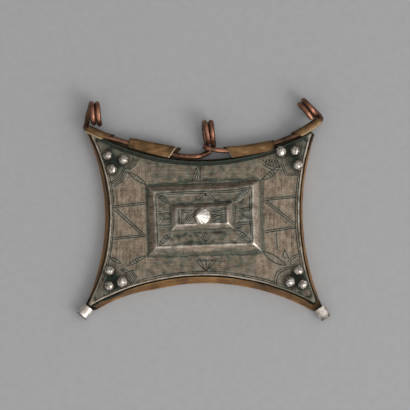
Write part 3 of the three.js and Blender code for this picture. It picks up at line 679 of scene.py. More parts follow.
# The lip's bead, in shares of its half width and height, and the flange turned down below it.
lip_bead = [(-1, 0), (-0.9, 0.5), (-0.625, 0.825), (-0.25, 1), (0.25, 1), (0.625, 0.85), (0.9, 0.55), (1, 0)]
lip_half, flange_end = rim_width / 2, flange_foot - field_z
lip_profile = [(out * lip_half, up * rim_rise) for out, up in lip_bead]
lip_profile += [(lip_half, -1.2), (lip_half, -2.2), (lip_half, flange_end), (0.0, flange_end), (-0.1, -0.6)]
rings = []
for out, up in lip_profile:
    ring = []
    for p in lip_ring(out):
        x, y = hand_drawn(p.x, p.y)
        nick = 0.07 * waver(x, y, 1.3, 21) + 0.05 * waver(x, y, 4, 23)
        raised = max(0, up) / rim_rise
        ring.append((x, y, field_z + up + raised * nick + (planished(p.x, p.y) if up >= 0 else 0)))
    rings.append(ring)
underside = []
mid_z = outer_tier["rise"]
high_z = mid_z + inner_tier["rise"]
inset, below = 0.25, 0.1
for tier, which, rise in ((outer_tier, "base", 0), (outer_tier, "top", mid_z), (inner_tier, "base", mid_z),
                          (inner_tier, "top", high_z)):
    u, v = (length / 2 - inset for length in tier[which])
    square = resample([(-u, -v), (u, -v), (u, v), (-u, v), (-u, -v)], 0.1)[:-1]
    spread = [square[round(i * len(square) / len(rings[0])) % len(square)] for i in range(len(rings[0]))]
    underside.append([(*tier_place(tier, p.x, p.y), field_z - pan_sheet - below + rise) for p in spread])
rings += underside
first = len(corners)
corners += [p for ring in rings for p in ring]
ring_faces = rings_mesh(rings, first, False)
last = len(corners) - len(rings[0])
faces += ring_faces + [tuple(range(last, len(corners)))]

granule_radius, granule_foot = 1.6, 0.9
granule_sizes = {"topLeft": (1.0, 1.15, 1.08), "topRight": (1.2, 1.06, 1.12),
                 "bottomRight": (1.12, 1.18, 1.04), "bottomLeft": (1.1, 1.04, 1.22)}
# Each granule's place is given from the pan's nearest corner.
granule_places = {
    "topLeft": ("tl", [(5.7, -7.7), (11.0, -9.1), (7.2, -12.4)]),
    "topRight": ("tr", [(-10.0, -6.5), (-5.4, -6.2), (-4.5, -11.1)]),
    "bottomRight": ("br", [(-5.7, 10.6), (-8.5, 6.9), (-4.2, 6.0)]),
    "bottomLeft": ("bl", [(7.1, 11.6), (7.0, 6.5), (11.2, 7.9)]),
}
granules = {f"{corner}_{i + 1}": (pan_corners[short][0] + dx, pan_corners[short][1] + dy)
            for corner, (short, places) in granule_places.items() for i, (dx, dy) in enumerate(places)}

plan_count = len(px)
outer_climb, inner_climb = tier_climb(outer_tier, px, py), tier_climb(inner_tier, px, py)
on_plateau, on_wing = outer_climb > 1, np.abs(px) > wing_from
flat = (np.clip(-outer_climb * 3, 0, 1)
        + np.clip((outer_climb - 1) * 8, 0, 1) * np.clip(-inner_climb * 3, 0, 1))
foot_dark = 0.75 * (np.exp(-(outer_climb / 0.22) ** 2) + np.exp(-(inner_climb / 0.26) ** 2))

# Solder, dirt and painted shade lie between the granules and thin out round each cluster; the upper clusters
# are darker.
crowd = sum(np.exp(-((px - gx) ** 2 + (py - gy) ** 2) / 2.5 ** 2) for gx, gy in granules.values())
granule_dirt_and_shade = np.clip(1.3 * crowd, 0, 1)
cluster_dirt_and_shade = {"topLeft": 0.6, "topRight": 0.6, "bottomLeft": 0.25, "bottomRight": 0.25}
cluster_reach, cluster_rise = 7.5, 1.5
ragged = 1.15 + 0.66 * waver_all(px, py, 2.2, 77)
for corner, strength in cluster_dirt_and_shade.items():
    middle = sum((Vector(granules[f"{corner}_{k}"]) for k in (1, 2, 3)), Vector((0, 0))) / 3
    away = np.hypot(px - middle.x, py - middle.y - cluster_rise)
    granule_dirt_and_shade = np.maximum(granule_dirt_and_shade, strength * np.exp(-(away / cluster_reach) ** 4) * ragged)

# The cuts are dark, and so are their sides where the engraving is close; a painted shadow lies along the top
# edge under the wire.
beside = np.where(on_plateau, 0.62, 0.34) * np.clip(1.3 - from_cut / 0.4, 0, 1)
cut_dark = np.where(from_cut < 0, 0.85 + 0.15 * in_cut, beside)
top_hub, top_radius, _, _ = side_circle(pan_corners, pan_bows, "top")
from_top = np.hypot(px - top_hub.x, py - top_hub.y) - top_radius
wire_shadow = np.maximum(0.9 * np.exp(-(from_top / 1.5) ** 4), 0.45 * np.exp(-(from_top / 4.5) ** 2))
patchy = np.clip(0.30 + 0.75 * waver_all(px, py, 1.7, 71), 0.08, 0.75) + 0.14 * on_plateau
low_tip = 0.5 * np.clip((-px - 28) / 6, 0, 1) * np.clip((-py - 20) / 4, 0, 1)
recess = np.clip(np.maximum.reduce([cut_dark, foot_dark, granule_dirt_and_shade, wire_shadow, grime_share(px, py),
                                    patchy * flat * ~on_wing, low_tip]), 0, 1)

# The steps' edges and hips are bright with wear and painted highlights, the lower ones most, and so are the
# burrs beside the cuts. Painted light also brightens the slopes, the right end slopes and the upper edges
# towards the right.
rub_and_sheen = np.clip(0.55 + 0.95 * waver_all(px, py, 1.9, 41), 0.12, 1)
worn = 0.18 * (outer_climb > 0.35) * (outer_climb < 0.95) + 0.42 * (inner_climb > 0.25) * (inner_climb < 0.95)
# For each step: how wide its bright edge is, in shares of its slope, and how bright its left end slope is
# painted.
tier_wear_and_sheen = ((outer_tier, outer_climb, 0.09, 0), (inner_tier, inner_climb, 0.17, 0.3))
for tier, climb, edge_share, left_share in tier_wear_and_sheen:
    ridge, low, rightward = tier_hips(tier, px, py)
    on_slope = np.clip(climb * 6, 0, 1) * np.clip((1.1 - climb) * 8, 0, 1)
    hip = np.exp(-(ridge / 0.07) ** 2) * on_slope * np.where(low, 1.0, np.where(rightward, 0.25, 0.7))
    end_slope = on_slope * (ridge < 0) * np.where(rightward, 0.16, left_share)
    upper_edge = np.exp(-((climb - 1.05) / (edge_share * 0.6)) ** 2) * (ridge > 0) * ~low
    worn += (np.exp(-((climb - 1.01) / edge_share) ** 2) * 0.85 + hip + end_slope
             + upper_edge * np.clip(0.55 + px / 30, 0.1, 1) * 0.8)
worn += np.where(on_plateau, 0.8, 0.35) * np.exp(-((from_cut - 0.06) / 0.06) ** 2) * (from_top > 3)
worn = np.clip(worn * rub_and_sheen, 0, 1)

# The lip is bright with wear and painted highlights, most on the right side and least on the top; painted
# shade darkens its lower faces and the top side under the wire, and it is dull near the lower points.
lip_rub_and_sheen = {"bottom": 0.55, "right": 0.8, "top": 0.02, "left": 0.5}
side_names = list(sides)
lip_grime_and_shade, lip_wear_and_sheen = [], []
for (out, up), ring in zip(lip_profile, rings):
    for k, (x, y, z) in enumerate(ring):
        side = side_names[k // (lip_steps + 1)]
        near_tip = unit((x - 20) / 4) if side == "bottom" else unit((-17 - y) / 2) * (side != "top")
        dull = 0.8 - 1.9 * max(0, up) if side != "top" else 0.85 if up > 0.38 else 0.95
        if up < 0.1 or (up < 0.3 and out > 0):
            dull = 1.0
        rub = unit(0.6 + 1.2 * waver(x, y, 2.4, 31))
        lip_grime_and_shade.append(max(dull, 0.55 * near_tip))
        lip_wear_and_sheen.append(max(0, (up - 0.32) / 0.08) * rub * lip_rub_and_sheen[side] * (1 - 0.8 * near_tip))
spare = len(corners) - plan_count - len(lip_grime_and_shade)
recess = list(recess) + lip_grime_and_shade + [1.0] * spare
worn = list(worn) + lip_wear_and_sheen + [0.0] * spare
pan = build("front_pan_engraved", corners, faces, "patinated_silver", "front_pan", crease=60,
            layers={"recess": recess, "worn": worn})

silver = Finish("patinated_silver", metallic=0.75)
dark, bright = silver.layer("recess"), silver.layer("worn")
cloud = silver.grain(6, 4, shift=2.0)
mottle = silver.grain(1.6, 4, shift=5.0)
speck = silver.grain(0.45, 3, shift=9.0)
upright = silver.grain(0.42, 2, stretch=(1, 14, 8), shift=12.0)
level = silver.grain(0.5, 2, stretch=(9, 1, 8), shift=15.0)
separate = silver.add("ShaderNodeSeparateXYZ", {}, {0: silver.place}, "X")
wing = separate.maths("ABSOLUTE", separate).step(wing_from, wing_from + wing_blend)
brushed = upright * wing + level * (1 - wing)
base = silver.add("ShaderNodeValToRGB", {"stops": [
    (0.37, (0.075, 0.060, 0.040)), (0.46, (0.20, 0.153, 0.109)), (0.54, (0.32, 0.245, 0.178)),
    (0.65, (0.48, 0.395, 0.31))]},
    {"Fac": (cloud * 0.17 + mottle * 0.29 + brushed * 0.26 + speck * 0.28).held()})
green = silver.blend(mottle.step(0.36, 0.56), (0.052, 0.054, 0.036), (0.064, 0.100, 0.080))
green_share = (dark * (0.35 + 0.6 * mottle + 0.7 * speck)).held()
patina = silver.blend(green_share, base, green)
# Near-black where the layer is strong: patina and dirt, and painted shade under the wire, on the lip and
# between the granules.
grimed_and_shaded = silver.blend((dark.step(0.58, 0.95) * speck.step(0.3, 0.62, 1.0, 0.45)).held(), patina,
                      (0.016, 0.016, 0.011))
# Wear and painted highlights lighten the silver.
wear_and_sheen_share = (bright * speck.step(0.25, 0.6, 0.5, 1.1)).held()
colour = silver.blend(wear_and_sheen_share, grimed_and_shaded, (0.66, 0.59, 0.505))
roughness = (0.46 - 0.14 * bright + 0.22 * dark + 0.2 * (mottle - 0.5)).held()
silver.wear(colour, roughness, brushed * 0.4 + speck * 0.5 + mottle * 0.4, 0.11)
silver.paint(pan)


# Centre stud: a silver cone with twelve flutes, soldered on the upper step. It was set a little askew, so
# its point leans to the left.
stud_radius, stud_height, stud_lean, stud_flutes = 2.85, 2.6, (-1.7, -0.15), 12
stud_z = field_z + high_z
profile = [(1.0, -0.02), (1.02, 0.05), (0.99, 0.12), (0.93, 0.2), (0.8, 0.35), (0.64, 0.53), (0.48, 0.68),
           (0.33, 0.82), (0.2, 0.92), (0.1, 0.98), (0.03, 1.0)]
# Its left side has painted shade, and its crests are bright with wear and painted highlights, most towards
# the lower right.
stud_steps, shade_aim, sheen_aim = 96, 0.45, 0.9
rings, stud_shade, crest_wear_and_sheen = [], [], []
for share, climb in profile:
    ring = []
    for i in range(stud_steps):
        turn = 2 * math.pi * i / stud_steps
        crest = abs(math.cos(turn * stud_flutes / 2))
        flute = 0.30 * (1 - crest) * min(1, (climb + 0.02) * 5)
        wobble = 1 + 0.02 * waver(math.cos(turn) * 3, math.sin(turn) * 3, 1, climb)
        reach = (stud_radius - flute) * share * wobble
        ring.append((inner_tier["centre"][0] + stud_lean[0] * climb + reach * math.cos(turn),
                     inner_tier["centre"][1] + stud_lean[1] * climb + reach * math.sin(turn),
                     stud_z + stud_height * climb))
        stud_shade.append(0.1 + (0.6 if climb > 0.1 else 0.85) * max(0, 0.2 - math.cos(turn + shade_aim)) / 1.2)
        crest_wear_and_sheen.append(0.3 * crest ** 3 * (0.55 + 0.45 * math.cos(turn + sheen_aim)) * (climb > 0.15))
    rings.append(ring)
stud = build_rings("centre_stud_fluted", rings, "bright_silver", "centre_stud", crease=50,
                   layers={"recess": stud_shade, "worn": crest_wear_and_sheen})

bright_silver = Finish("handled_silver", metallic=1.0)
cloud = bright_silver.grain(1.4, 3, shift=4.0)
pit = bright_silver.grain(0.42, 3, shift=7.0)
tone = bright_silver.blend(cloud.step(0.35, 0.65), (0.62, 0.53, 0.44), (0.90, 0.86, 0.80))
pits_shade_and_sheen = bright_silver.blend(pit.step(0.55, 0.67, 0.0, 0.6), tone, (0.17, 0.145, 0.10))
# Painted shade from the layer, broken by the pits: the stud's left side, the granules' feet and the caps'
# mouths; the granules' pits are darkened all over.
painted_shade = (bright_silver.layer("recess") * pit.step(0.38, 0.62, 0.35, 1.7)).held()
pits_shade_and_sheen = bright_silver.blend(painted_shade, pits_shade_and_sheen, (0.05, 0.04, 0.026))
# Wear and painted highlights on the stud's crests.
pits_shade_and_sheen = bright_silver.blend((bright_silver.layer("worn") * 0.9).held(), pits_shade_and_sheen, (0.94, 0.91, 0.86))
bright_silver.wear(pits_shade_and_sheen, cloud.step(0.3, 0.7, 0.22, 0.4), cloud * 0.5 + pit * 0.5, 0.12)
bright_silver.paint(stud)


# Granules: twelve silver balls, three near each corner. Each was melted from scrap, so no two are quite
# round or alike, and each sits in a small pool of solder.
ball = bmesh.new()
bmesh.ops.create_icosphere(ball, subdivisions=4, radius=1)
ball_points = [v.co.copy() for v in ball.verts]
ball_faces = [tuple(v.index for v in face.verts) for face in ball.faces]
ball.free()
lift = math.sqrt(granule_radius ** 2 - granule_foot ** 2)
pool_reach, pool_spread, pool_height = 1.05, 0.45, 0.5
for k, (name, (gx, gy)) in enumerate(granules.items()):
    corner, place = name.split("_")
    radius = granule_radius * granule_sizes[corner][int(place) - 1]
    corners, foot_shade_and_pits = [], []
    for p in ball_points:
        lump = (1 + 0.07 * noise.noise(p * 1.6 + Vector((k, 0, 3)))
                + 0.06 * noise.noise(p * 4 + Vector((k, 7, 0)))
                + 0.05 * noise.noise(p * 9 + Vector((0, k, 5))))
        x, y, z = p * radius * lump
        z = max(z + lift, -0.06)
        reach = math.hypot(x, y)
        skirt = pool_reach + pool_spread * max(0, 1 - max(z, 0) / pool_height) ** 2
        if p.z < 0 and 0.02 < reach < skirt:
            x, y = x * skirt / reach, y * skirt / reach
        corners.append((gx + x, gy + y, field_z + z))
        # Painted shade towards each ball's foot; elsewhere the layer only darkens its pits.
        foot_shade_and_pits.append(min(1, 0.40 + 0.8 * max(0, 1 - z / 1.9)))
    bright_silver.paint(build(f"granule_ball_{name}", corners, ball_faces, "bright_silver", f"granule_{name}",
                              crease=60, layers={"recess": foot_shade_and_pits}))


# End caps: short silver tubes rolled from sheet and closed by a disc. They are pushed over the two lower
# points, and the back sheet's tongues hold them from inside.
cap_wall, cap_length, cap_end_wall, cap_mouth, cap_mid = 0.35, 3.9, 0.7, 2.05, 2.35
cap_steps = 64
# The case's point that each cap closes, and the cap's radius at its far end.
cap_ends = {"left": ("bl", 2.05), "right": ("br", 1.8)}
for hand, (corner, end) in cap_ends.items():
    slope = (end - cap_mouth) / cap_length
    profile = [(0.02, cap_length - cap_end_wall)]
    depth = cap_length - cap_end_wall
    profile += [(cap_mouth + slope * s - cap_wall, s) for s in (depth, 2.2, 1.1, 0.12)]
    profile += [(cap_mouth - cap_wall + 0.1, 0), (cap_mouth - 0.09, 0), (cap_mouth, 0.1)]
    profile += [(cap_mouth + slope * s, s) for s in (0.5, 1.1, 1.8, 2.5, 3.1, 3.5)]
    profile += [(end + 0.06, cap_length - 0.28), (end + 0.02, cap_length - 0.18),
                (end - 0.1, cap_length - 0.06), (end - 0.35, cap_length), (0.02, cap_length)]
    way = Vector((math.cos(cap_aims[corner]), math.sin(cap_aims[corner]), 0))
    across = Vector((-way.y, way.x, 0))
    seat = Vector((*cap_mouths[corner], cap_mid))
    rings = []
    for r, s in profile:
        ring = []
        for i in range(cap_steps):
            turn = 2 * math.pi * i / cap_steps
            dent = 1 + 0.02 * waver(math.cos(turn) * 2, s + math.sin(turn) * 2, 1.5, end)
            round_it = across * math.cos(turn) + Vector((0, 0, math.sin(turn)))
            ring.append(seat + way * s + round_it * r * dent)
        rings.append(ring)
    # The far rim is dark, and the inside of the mouth has painted shade.
    rim_dark_and_mouth_shade = []
    for r, s in profile:
        far_rim = s > cap_length - 0.2 and r > 1
        inner_face = r < cap_mouth - 0.2 and s < cap_length - 0.2
        rim_dark_and_mouth_shade += [0.85 if far_rim else 0.9 if inner_face else 0] * cap_steps
    bright_silver.paint(build_rings(f"end_cap_tube_{hand}", rings, "bright_silver", f"end_cap_{hand}",
                                    layers={"recess": rim_dark_and_mouth_shade}))


# Suspension wire: one length of drawn copper wire that follows the hollow top edge and is wound twice
# round a rod for each of its three eyes. Its ends are filed, and its bends are bright from handling.
wire_width, wire_steps, wire_step, rail_z = 1.75, 20, 0.35, 3.5
eye_pitch, eye_clear, eye_steps, eye_zone = 1.88, 0.05, 24, 4.6
# Places of the wire along the top edge, as rail_point takes them, and its bends between, as x, y and z.
rail_left = [(-1.052, 0.45, 1.9), (-0.981, 0.75, 2.05), (-0.894, 1.02, 2.0), (-0.814, 1.6, 1.5),
             (-0.734, 2.1, 0.6), (-0.664, 2.3, 0.1), (-0.459, 2.2, 0), (-0.214, 2.05, 0)]
rail_right = [(0.22, 3.6, 0), (0.426, 2.817, 0), (0.656, 2.12, 0), (0.741, 2.03, 0.3), (0.818, 1.86, 0.8),
              (0.896, 1.72, 1.25), (1.015, 1.8, 1.5), (1.13, 2.05, 1.4)]
bend_left = [(-38.8, 33.0, 2.5), (-39.0, 31.1, 3.9)]
dip_left = [(-6.6, 19.95, 3.5), (-4.2, 19.8, 3.5), (-1.9, 20.0, 3.0), (0.1, 20.8, 1.9), (1.9, 22.0, 1.25),
            (2.85, 22.9, 1.7), (3.15, 23.7, 3.1)]
dip_right = [(0.5, 26.6, 1.0), (0.95, 25.2, 1.0), (0.75, 24.0, 1.5), (0.35, 23.2, 2.6), (1.0, 22.7, 3.9),
             (3.1, 22.1, 4.3)]
bend_right = [(38.8, 33.0, 3.7), (37.8, 34.5, 2.3)]


def rail_point(share, out, rise):
    """A place of the wire: a share of half the top edge from its middle, out from the lip, and its rise."""
    hub, radius, sweep, along = side_circle(pan_corners, pan_bows, "top")
    turn, reach = -share * sweep, radius - out
    return Vector((hub.x + along.x * reach * math.sin(turn) - along.y * reach * math.cos(turn),
                   hub.y + along.y * reach * math.sin(turn) + along.x * reach * math.cos(turn),
                   rail_z + rise))


def eye_aim(eye):
    """The way an eye points, seen in plan, and the way of its axis."""
    out = Vector((math.cos(math.radians(eye["aim"])), math.sin(math.radians(eye["aim"]))))
    return out, Vector((out.y, -out.x))


def eye_points(eye, start_turn, end_turn, aside):
    """Points of one eye: two turns standing on edge. They step sideways as they go: `aside` says how far
    they are aside after so many degrees, and the middle eye's even pitch has been pinched."""
    radius = (eye["width"] - wire_width) / 2
    out, axis = eye_aim(eye)
    span = abs(end_turn - start_turn)
    steps = round(eye_steps * span / 360)
    points = []
    for i in range(steps + 1):
        turn = math.radians(start_turn + (end_turn - start_turn) * i / steps)
        shift = float(np.interp(span * i / steps, *zip(*aside)))
        flat = Vector(eye["centre"]) + axis * shift + out * radius * math.sin(turn)
        points.append(Vector((*flat, eye["width"] / 2 + eye_clear + radius * math.cos(turn))))
    return points


def with_tail(points):
    """An end eye with one width of straight wire after it."""
    return points + [points[-1] + (points[-1] - points[-2]).normalized() * wire_width]


def smooth_path(points, step):
    """A centripetal curve through the points, with corners about `step` apart."""
    points = [Vector(p) for p in points]
    ends = [points[0] * 2 - points[1], *points, points[-1] * 2 - points[-2]]
    path = []
    for a, b, c, d in zip(ends, ends[1:], ends[2:], ends[3:]):
        ta, tb, tc = (max((q - p).length, 1e-6) ** 0.5 for p, q in ((a, b), (b, c), (c, d)))
        out = ((b - a) / ta - (c - a) / (ta + tb) + (c - b) / tb) * tb
        into = ((c - b) / tb - (d - b) / (tb + tc) + (d - c) / tc) * tb
        count = max(1, round((c - b).length / step))
        for i in range(count):
            t = i / count
            path.append(b + out * t + ((c - b) * 3 - out * 2 - into) * t * t
                        + ((b - c) * 2 + out + into) * t ** 3)
    return path + [points[-1]]


left_eye = {"centre": (-36.0, 34.3), "width": 8.2, "aim": 90}
middle_eye = {"centre": (1.45, 28.0), "width": 8.2, "aim": 93}
right_eye = {"centre": (34.25, 35.25), "width": 8.0, "aim": 136}
left_aside = [(0, -1.81), (560, -1.81 + eye_pitch * 560 / 360)]
middle_aside = [(0, 1.4), (168, 1.0), (348, 0.15), (528, -1.2), (578, -1.25)]
right_aside = [(0, 1.95), (525, 1.95 - eye_pitch * 525 / 360)]
wire_points = (
    with_tail(eye_points(left_eye, -235, -795, left_aside))[::-1] + bend_left
    + [rail_point(*p) for p in rail_left] + dip_left
    + eye_points(middle_eye, -78, 500, middle_aside) + dip_right
    + [rail_point(*p) for p in rail_right] + bend_right
    + with_tail(eye_points(right_eye, -230, -755, right_aside))
)
wire_path = smooth_path(wire_points, wire_step)
rings, shade_and_tarnish = [], []
side_way = Vector((0, 0, 1))
for i, p in enumerate(wire_path):
    along = (wire_path[min(i + 1, len(wire_path) - 1)] - wire_path[max(i - 1, 0)]).normalized()
    side_way = (side_way - along * side_way.dot(along)).normalized()
    third = along.cross(side_way)
    ends = min(i, len(wire_path) - 1 - i)
    round_off = (0.78, 0.93)[ends] if ends < 2 else 1
    ring = []
    for k in range(wire_steps):
        turn = 2 * math.pi * k / wire_steps
        mark = (1 + 0.012 * waver(i * wire_step, math.cos(turn) * 1.5, 2.5)
                + 0.008 * waver(i * wire_step, turn, 0.9, 4))
        reach = wire_width / 2 * mark * round_off
        ring.append(p + (side_way * math.cos(turn) + third * math.sin(turn)) * reach)
    rings.append(ring)
    # The wire has painted shade underneath and where an eye's turns face each other, and is dull where it is
    # straight.
    eye = min((left_eye, middle_eye, right_eye), key=lambda eye: (p.xy - Vector(eye["centre"])).length)
    in_eye = (p.xy - Vector(eye["centre"])).length < eye_zone
    axis = Vector((*eye_aim(eye)[1], 0))
    straight_dull = 0 if in_eye else 0.15 if -8 < p.x < 8 else 0.5
    for q in ring:
        face = (q - p).normalized()
        beside = unit((abs(face.dot(axis)) - 0.62) / 0.33) * in_eye
        shade_and_tarnish.append(max(beside, unit(-0.1 - face.z * 1.2), straight_dull))
wire = build_rings("suspension_wire_wound", rings, "copper_wire", "suspension_wire", crease=50,
                   layers={"recess": shade_and_tarnish})

wire_copper = Finish("drawn_copper_wire", metallic=0.95)
cloud = wire_copper.grain(4.5, 4, shift=1.0)
smear = wire_copper.grain(1.3, 3, shift=6.0)
speck = wire_copper.grain(0.4, 2, shift=11.0)
tone = wire_copper.add("ShaderNodeValToRGB", {"stops": [
    (0.32, (0.06, 0.042, 0.026)), (0.44, (0.21, 0.095, 0.058)), (0.56, (0.40, 0.18, 0.115)),
    (0.72, (0.60, 0.33, 0.235))]}, {"Fac": (cloud * 0.55 + smear * 0.45).held()})
green_tarnish_and_shade = wire_copper.blend(smear.step(0.50, 0.66, 0.0, 0.8), tone, (0.055, 0.054, 0.032))
# Painted shade and tarnish from the layer.
green_tarnish_and_shade = wire_copper.blend((wire_copper.layer("recess") * (0.65 + 0.5 * smear)).held(), green_tarnish_and_shade,
                            (0.022, 0.024, 0.015))
wire_copper.wear(green_tarnish_and_shade, cloud.step(0.3, 0.7, 0.48, 0.34), smear * 0.5 + speck * 0.5, 0.04)
wire_copper.paint(wire)


# Sleeves: strips of brass sheet folded over the wire and pinched against the pan's lip. The long pair
# flank the middle eye and are cut askew; the corner pair are curled closely round the wire.
sleeve_sheet, sleeve_clear = 0.3, 0.1
fold_radius = wire_width / 2 + sleeve_clear + sleeve_sheet / 2


def thick_outline(line, thickness):
    """A polyline given thickness, with rounded-off cut edges."""
    normals = []
    for i in range(len(line)):
        run = line[min(i + 1, len(line) - 1)] - line[max(i - 1, 0)]
        normals.append(Vector((-run.y, run.x)).normalized())
    start, end = (line[0] - line[1]).normalized(), (line[-1] - line[-2]).normalized()
    outer = [p + n * thickness / 2 for p, n in zip(line, normals)]
    inner = [p - n * thickness / 2 for p, n in zip(line, normals)]
    edge, filed = thickness * 0.3, 0.08
    return [line[0] + normals[0] * edge, *outer[:-1], outer[-1] - end * filed,
            line[-1] + normals[-1] * edge, line[-1] - normals[-1] * edge,
            inner[-1] - end * filed, *inner[1:-1][::-1], inner[0] - start * filed,
            line[0] - normals[0] * edge]


def arc(middle, turn_from, turn_to, steps):
    """A bend of the sheet close round the wire."""
    turns = [math.radians(turn_from + (turn_to - turn_from) * i / steps) for i in range(steps + 1)]
    return [Vector((middle + fold_radius * math.cos(t), fold_radius * math.sin(t))) for t in turns]


def bow_between(start, middle, end, share):
    """A value that runs smoothly through three given ones along a sleeve."""
    slope = 4 * middle - 3 * start - end
    return start + share * slope + share * share * (end - start - slope)


def long_section(leg, reach):
    """Section of a long sleeve: a front leg, a fold behind the wire and a shorter back leg."""
    fold = reach - sleeve_sheet / 2 - fold_radius
    front = [Vector((-leg + leg / 6 * k, fold_radius - 0.1 * (1 - k / 4))) for k in range(5)]
    back = [Vector((fold + (-0.45 - fold) * k / 3, -fold_radius)) for k in range(1, 4)]
    return thick_outline(front + arc(fold, 90, -90, 16) + back, sleeve_sheet)


def sleeve(name, rail, start, end, skew, section_at, steps, node, bright_at, behind=(0, 0), dull=0):
    """A sleeve carried along the wire's rail between two shares of the top edge. Its ends are cut askew by
    `skew`, and its back leg reaches past them by `behind`."""
    line = smooth_path([rail_point(*p) for p in rail], 0.1)
    start, end = (min(range(len(line)), key=lambda k: abs(line[k].x - rail_point(share, 0, 0).x))
                  for share in (start, end))
    rings, worn, shade_and_tarnish = [], [], []
    for i in range(steps + 1):
        share = i / steps
        k = start + (end - start) * share
        before = line[int(k)]
        after = line[min(int(k) + 1, len(line) - 1)]
        middle = before.lerp(after, k - int(k))
        along = (after - before).normalized()
        lean = skew[0] + (skew[1] - skew[0]) * share
        ring = []
        past = along.xy * (behind[0] * max(0, 1 - share * 8) + behind[1] * max(0, share * 8 - 7))
        for p in section_at(share):
            dent = 0.05 * waver(middle.x, p.x * 2 + p.y, 3.5, 2) + 0.03 * waver(middle.x, p.y * 2, 1.2, 5)
            flare = 0.05 * waver(middle.x, 3, 1.8, 8) if p.x < -1 else 0
            more = past * (p.y < 0)
            ring.append((middle.x + along.x * lean * p.x - along.y * (p.x + flare) + more.x,
                         middle.y + along.y * lean * p.x + along.x * (p.x + flare) + more.y,
                         middle.z + along.z * lean * p.x + p.y + dent * (1 if p.y > 0 else 0.3)))
            # Painted highlights where `bright_at` puts them; painted shade inside and under the sheet, and
            # darker ends on top.
            worn.append(bright_at(share, p))
            tarnish = max(dull, (0.9 - min(share, 1 - share) * 14) * (p.y > 0))
            shade_and_tarnish.append(1 if p.y < 0.2 and p.x > -0.7 else tarnish)
        rings.append(ring)
    return build_rings(name, rings, "brass_sheet", node, crease=45, layers={"worn": worn, "recess": shade_and_tarnish})


brass = Finish("brown_brass_sheet", metallic=0.85)
cloud = brass.grain(4, 4, shift=2.5)
streak = brass.grain(0.5, 3, stretch=(8, 2, 1), shift=5.5)
speck = brass.grain(0.4, 2, shift=10.0)
tone = brass.add("ShaderNodeValToRGB", {"stops": [
    (0.34, (0.045, 0.028, 0.014)), (0.45, (0.135, 0.072, 0.031)), (0.55, (0.22, 0.12, 0.050)),
    (0.68, (0.39, 0.24, 0.118))]}, {"Fac": (cloud * 0.4 + streak * 0.4 + speck * 0.2).held()})
stain_shade_and_sheen = brass.blend(speck.step(0.56, 0.72, 0.0, 0.55), tone, (0.05, 0.045, 0.024))
# Painted shade inside and under the sheets, and darker ends on top.
stain_shade_and_sheen = brass.blend((brass.layer("recess") * 0.8).held(), stain_shade_and_sheen, (0.035, 0.028, 0.016))
# Painted highlights on the rims and ends.
rub_and_sheen = (brass.layer("worn") * speck.step(0.2, 0.6, 0.5, 1.0)).held()
stain_shade_and_sheen = brass.blend(rub_and_sheen, stain_shade_and_sheen, (0.60, 0.45, 0.27))
brass.wear(stain_shade_and_sheen, cloud.step(0.3, 0.7, 0.36, 0.55), streak * 0.6 + speck * 0.4, 0.04)
curl_width = 1.16
curl = thick_outline([p * curl_width for p in arc(0, 165, -75, 28)], sleeve_sheet)


def lit_lower_rim(share, p):
    """A curled sleeve has a painted highlight along its lower rim."""
    return 0.9 * (p.x < -1.05 and p.y > -0.5)


def left_section(share):
    """The left long sleeve, whose back leg is widest behind its middle."""
    return long_section(bow_between(1.3, 1.15, 1.45, share), bow_between(1.9, 2.85, 2.75, share))


def right_section(share):
    """The right long sleeve, whose front leg is longest at its left end."""
    return long_section(bow_between(2.75, 2.1, 2.3, share), bow_between(1.3, 1.55, 1.25, share))


# The long sleeves' cut ends and the curled sleeves' lower rims carry painted highlights.
sleeve_pieces = [
    sleeve("long_sleeve_folded_left", rail_left, -0.637, -0.252, (-0.15, 0.48), left_section, 60,
           "long_sleeve_left", lambda share, p: share > 0.975 and p.y > 0, (0, 1.4)),
    sleeve("long_sleeve_folded_right", rail_right, 0.232, 0.642, (-0.55, 0.3), right_section, 60,
           "long_sleeve_right", lambda share, p: 0.3 * (share < 0.025 and p.y > 0), (-0.8, 0)),
    sleeve("corner_sleeve_curled_left", rail_left, -1.03, -0.828, (0.2, 1.5), lambda share: curl, 24,
           "corner_sleeve_left", lit_lower_rim, dull=0.4),
    sleeve("corner_sleeve_curled_right", rail_right, 0.855, 1.1, (-1.1, -0.2), lambda share: curl, 28,
           "corner_sleeve_right", lit_lower_rim, dull=0.3),
]
brass.paint(*sleeve_pieces)


# Charm packet: a strip of hide folded in three, shut inside the case below the raised steps. It shows from
# no side; its folds are soft and its ends a little pressed in.
packet_length, packet_width, packet_height, packet_foot = 30, 15.4, 3.4, 0.9
packet_steps, packet_sides, soft_edge = 30, 48, 0.1
rings = []
for i in range(packet_steps + 1):
    across = packet_length * (i / packet_steps - 0.5)
    ring = []
    for k in range(packet_sides):
        turn = 2 * math.pi * k / packet_sides
        c, s = math.cos(turn), math.sin(turn)
        y = (packet_width / 2 - soft_edge) * math.copysign(abs(c) ** 0.35, c)
        z = (packet_height / 2 - soft_edge) * math.copysign(abs(s) ** 0.5, s)
        fold = 0.12 * math.cos(z * 5.5) * (abs(c) > 0.8)
        slack = 1 + 0.01 * waver(across, y + z, 4, 6)
        edge_in = 1 - 0.12 * max(0, abs(across) / (packet_length / 2) - 0.93) / 0.07
        x, y = across, (y - math.copysign(fold, y)) * slack * edge_in
        ring.append((*tier_place(outer_tier, x, y), packet_foot + packet_height / 2 + z * slack * edge_in))
    rings.append(ring)
hide = Finish("folded_hide", metallic=0.0, specular=0.3)
grain = hide.grain(0.8, 4)
crease_mark = hide.grain(3, 3, shift=4.0)
tan = hide.blend(grain.step(0.35, 0.65), (0.11, 0.06, 0.032), (0.22, 0.13, 0.075))
hide.wear(tan, crease_mark.step(0.3, 0.7, 0.7, 0.9), grain * 0.6 + crease_mark * 0.4, 0.08)
hide.paint(build_rings("charm_packet_hide", rings, "charm_hide", "charm_packet"))


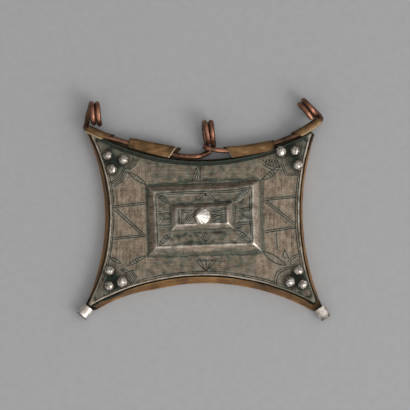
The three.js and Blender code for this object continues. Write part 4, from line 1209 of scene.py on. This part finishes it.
# Setting: a plain grey table top under the case, the light of a large soft window to the lower right, and
# a long lens nearly straight above. Their places and sizes are in metres.
table = bpy.data.meshes.new("table_top")
table_half, table_z = 1.5, -0.0001
table_corners = [(-table_half, -table_half), (table_half, -table_half), (table_half, table_half),
                 (-table_half, table_half)]
table.from_pydata([(x, y, table_z) for x, y in table_corners], [], [(0, 1, 2, 3)])
table_top = bpy.data.objects.new("table_top", table)
bpy.context.scene.collection.objects.link(table_top)
card = Finish("grey_card", metallic=0.0, specular=0.1)
fibre = card.grain(2.5, 3)
shade = card.blend(fibre.step(0.3, 0.7), (0.374, 0.374, 0.376), (0.39, 0.39, 0.392))
card.wear(shade, fibre.step(0.3, 0.7, 0.85, 0.95))
card.paint(table_top)

window_way = Vector((0.62, -0.6, 0.5)).normalized()
world = bpy.data.worlds.new("studio")
bpy.context.scene.world = world
world.use_nodes = True
sky = Nodes(world.node_tree)
way = sky.add("ShaderNodeTexCoord", {}, {}, "Generated")
toward = sky.add("ShaderNodeVectorMath", {"operation": "DOT_PRODUCT"}, {0: way, 1: window_way}, "Value")
strength = toward.step(-0.9, 1.0, 0.12, 1.0)
glow = sky.add("ShaderNodeBackground", {}, {"Color": (1, 1, 1, 1), "Strength": strength})
sky.add("ShaderNodeOutputWorld", {}, {"Surface": glow})

window = bpy.data.lights.new("soft_window", "AREA")
window.shape, window.size, window.size_y = "RECTANGLE", 0.5, 0.4
window.energy = 3.3
window_at = bpy.data.objects.new("soft_window", window)
bpy.context.scene.collection.objects.link(window_at)
window_at.location = (0.55, -0.5, 0.6)
window_at.rotation_euler = (-Vector(window_at.location)).to_track_quat("-Z", "Y").to_euler()

lens = bpy.data.cameras.new("long_lens")
frame_width, distance, tilt = 0.13667, 2.0, math.radians(8.5)
aimed_at = Vector((0.00033, 0.00404, 0))
lens.sensor_width = 36
lens.lens = lens.sensor_width * distance / frame_width
lens.clip_start, lens.clip_end = 0.05, 20
camera = bpy.data.objects.new("long_lens", lens)
bpy.context.scene.collection.objects.link(camera)
camera.location = aimed_at + Vector((0, -math.sin(tilt), math.cos(tilt))) * distance
camera.rotation_euler = (tilt, 0, 0)
bpy.context.scene.camera = camera
bpy.context.scene.view_settings.view_transform = "Standard"
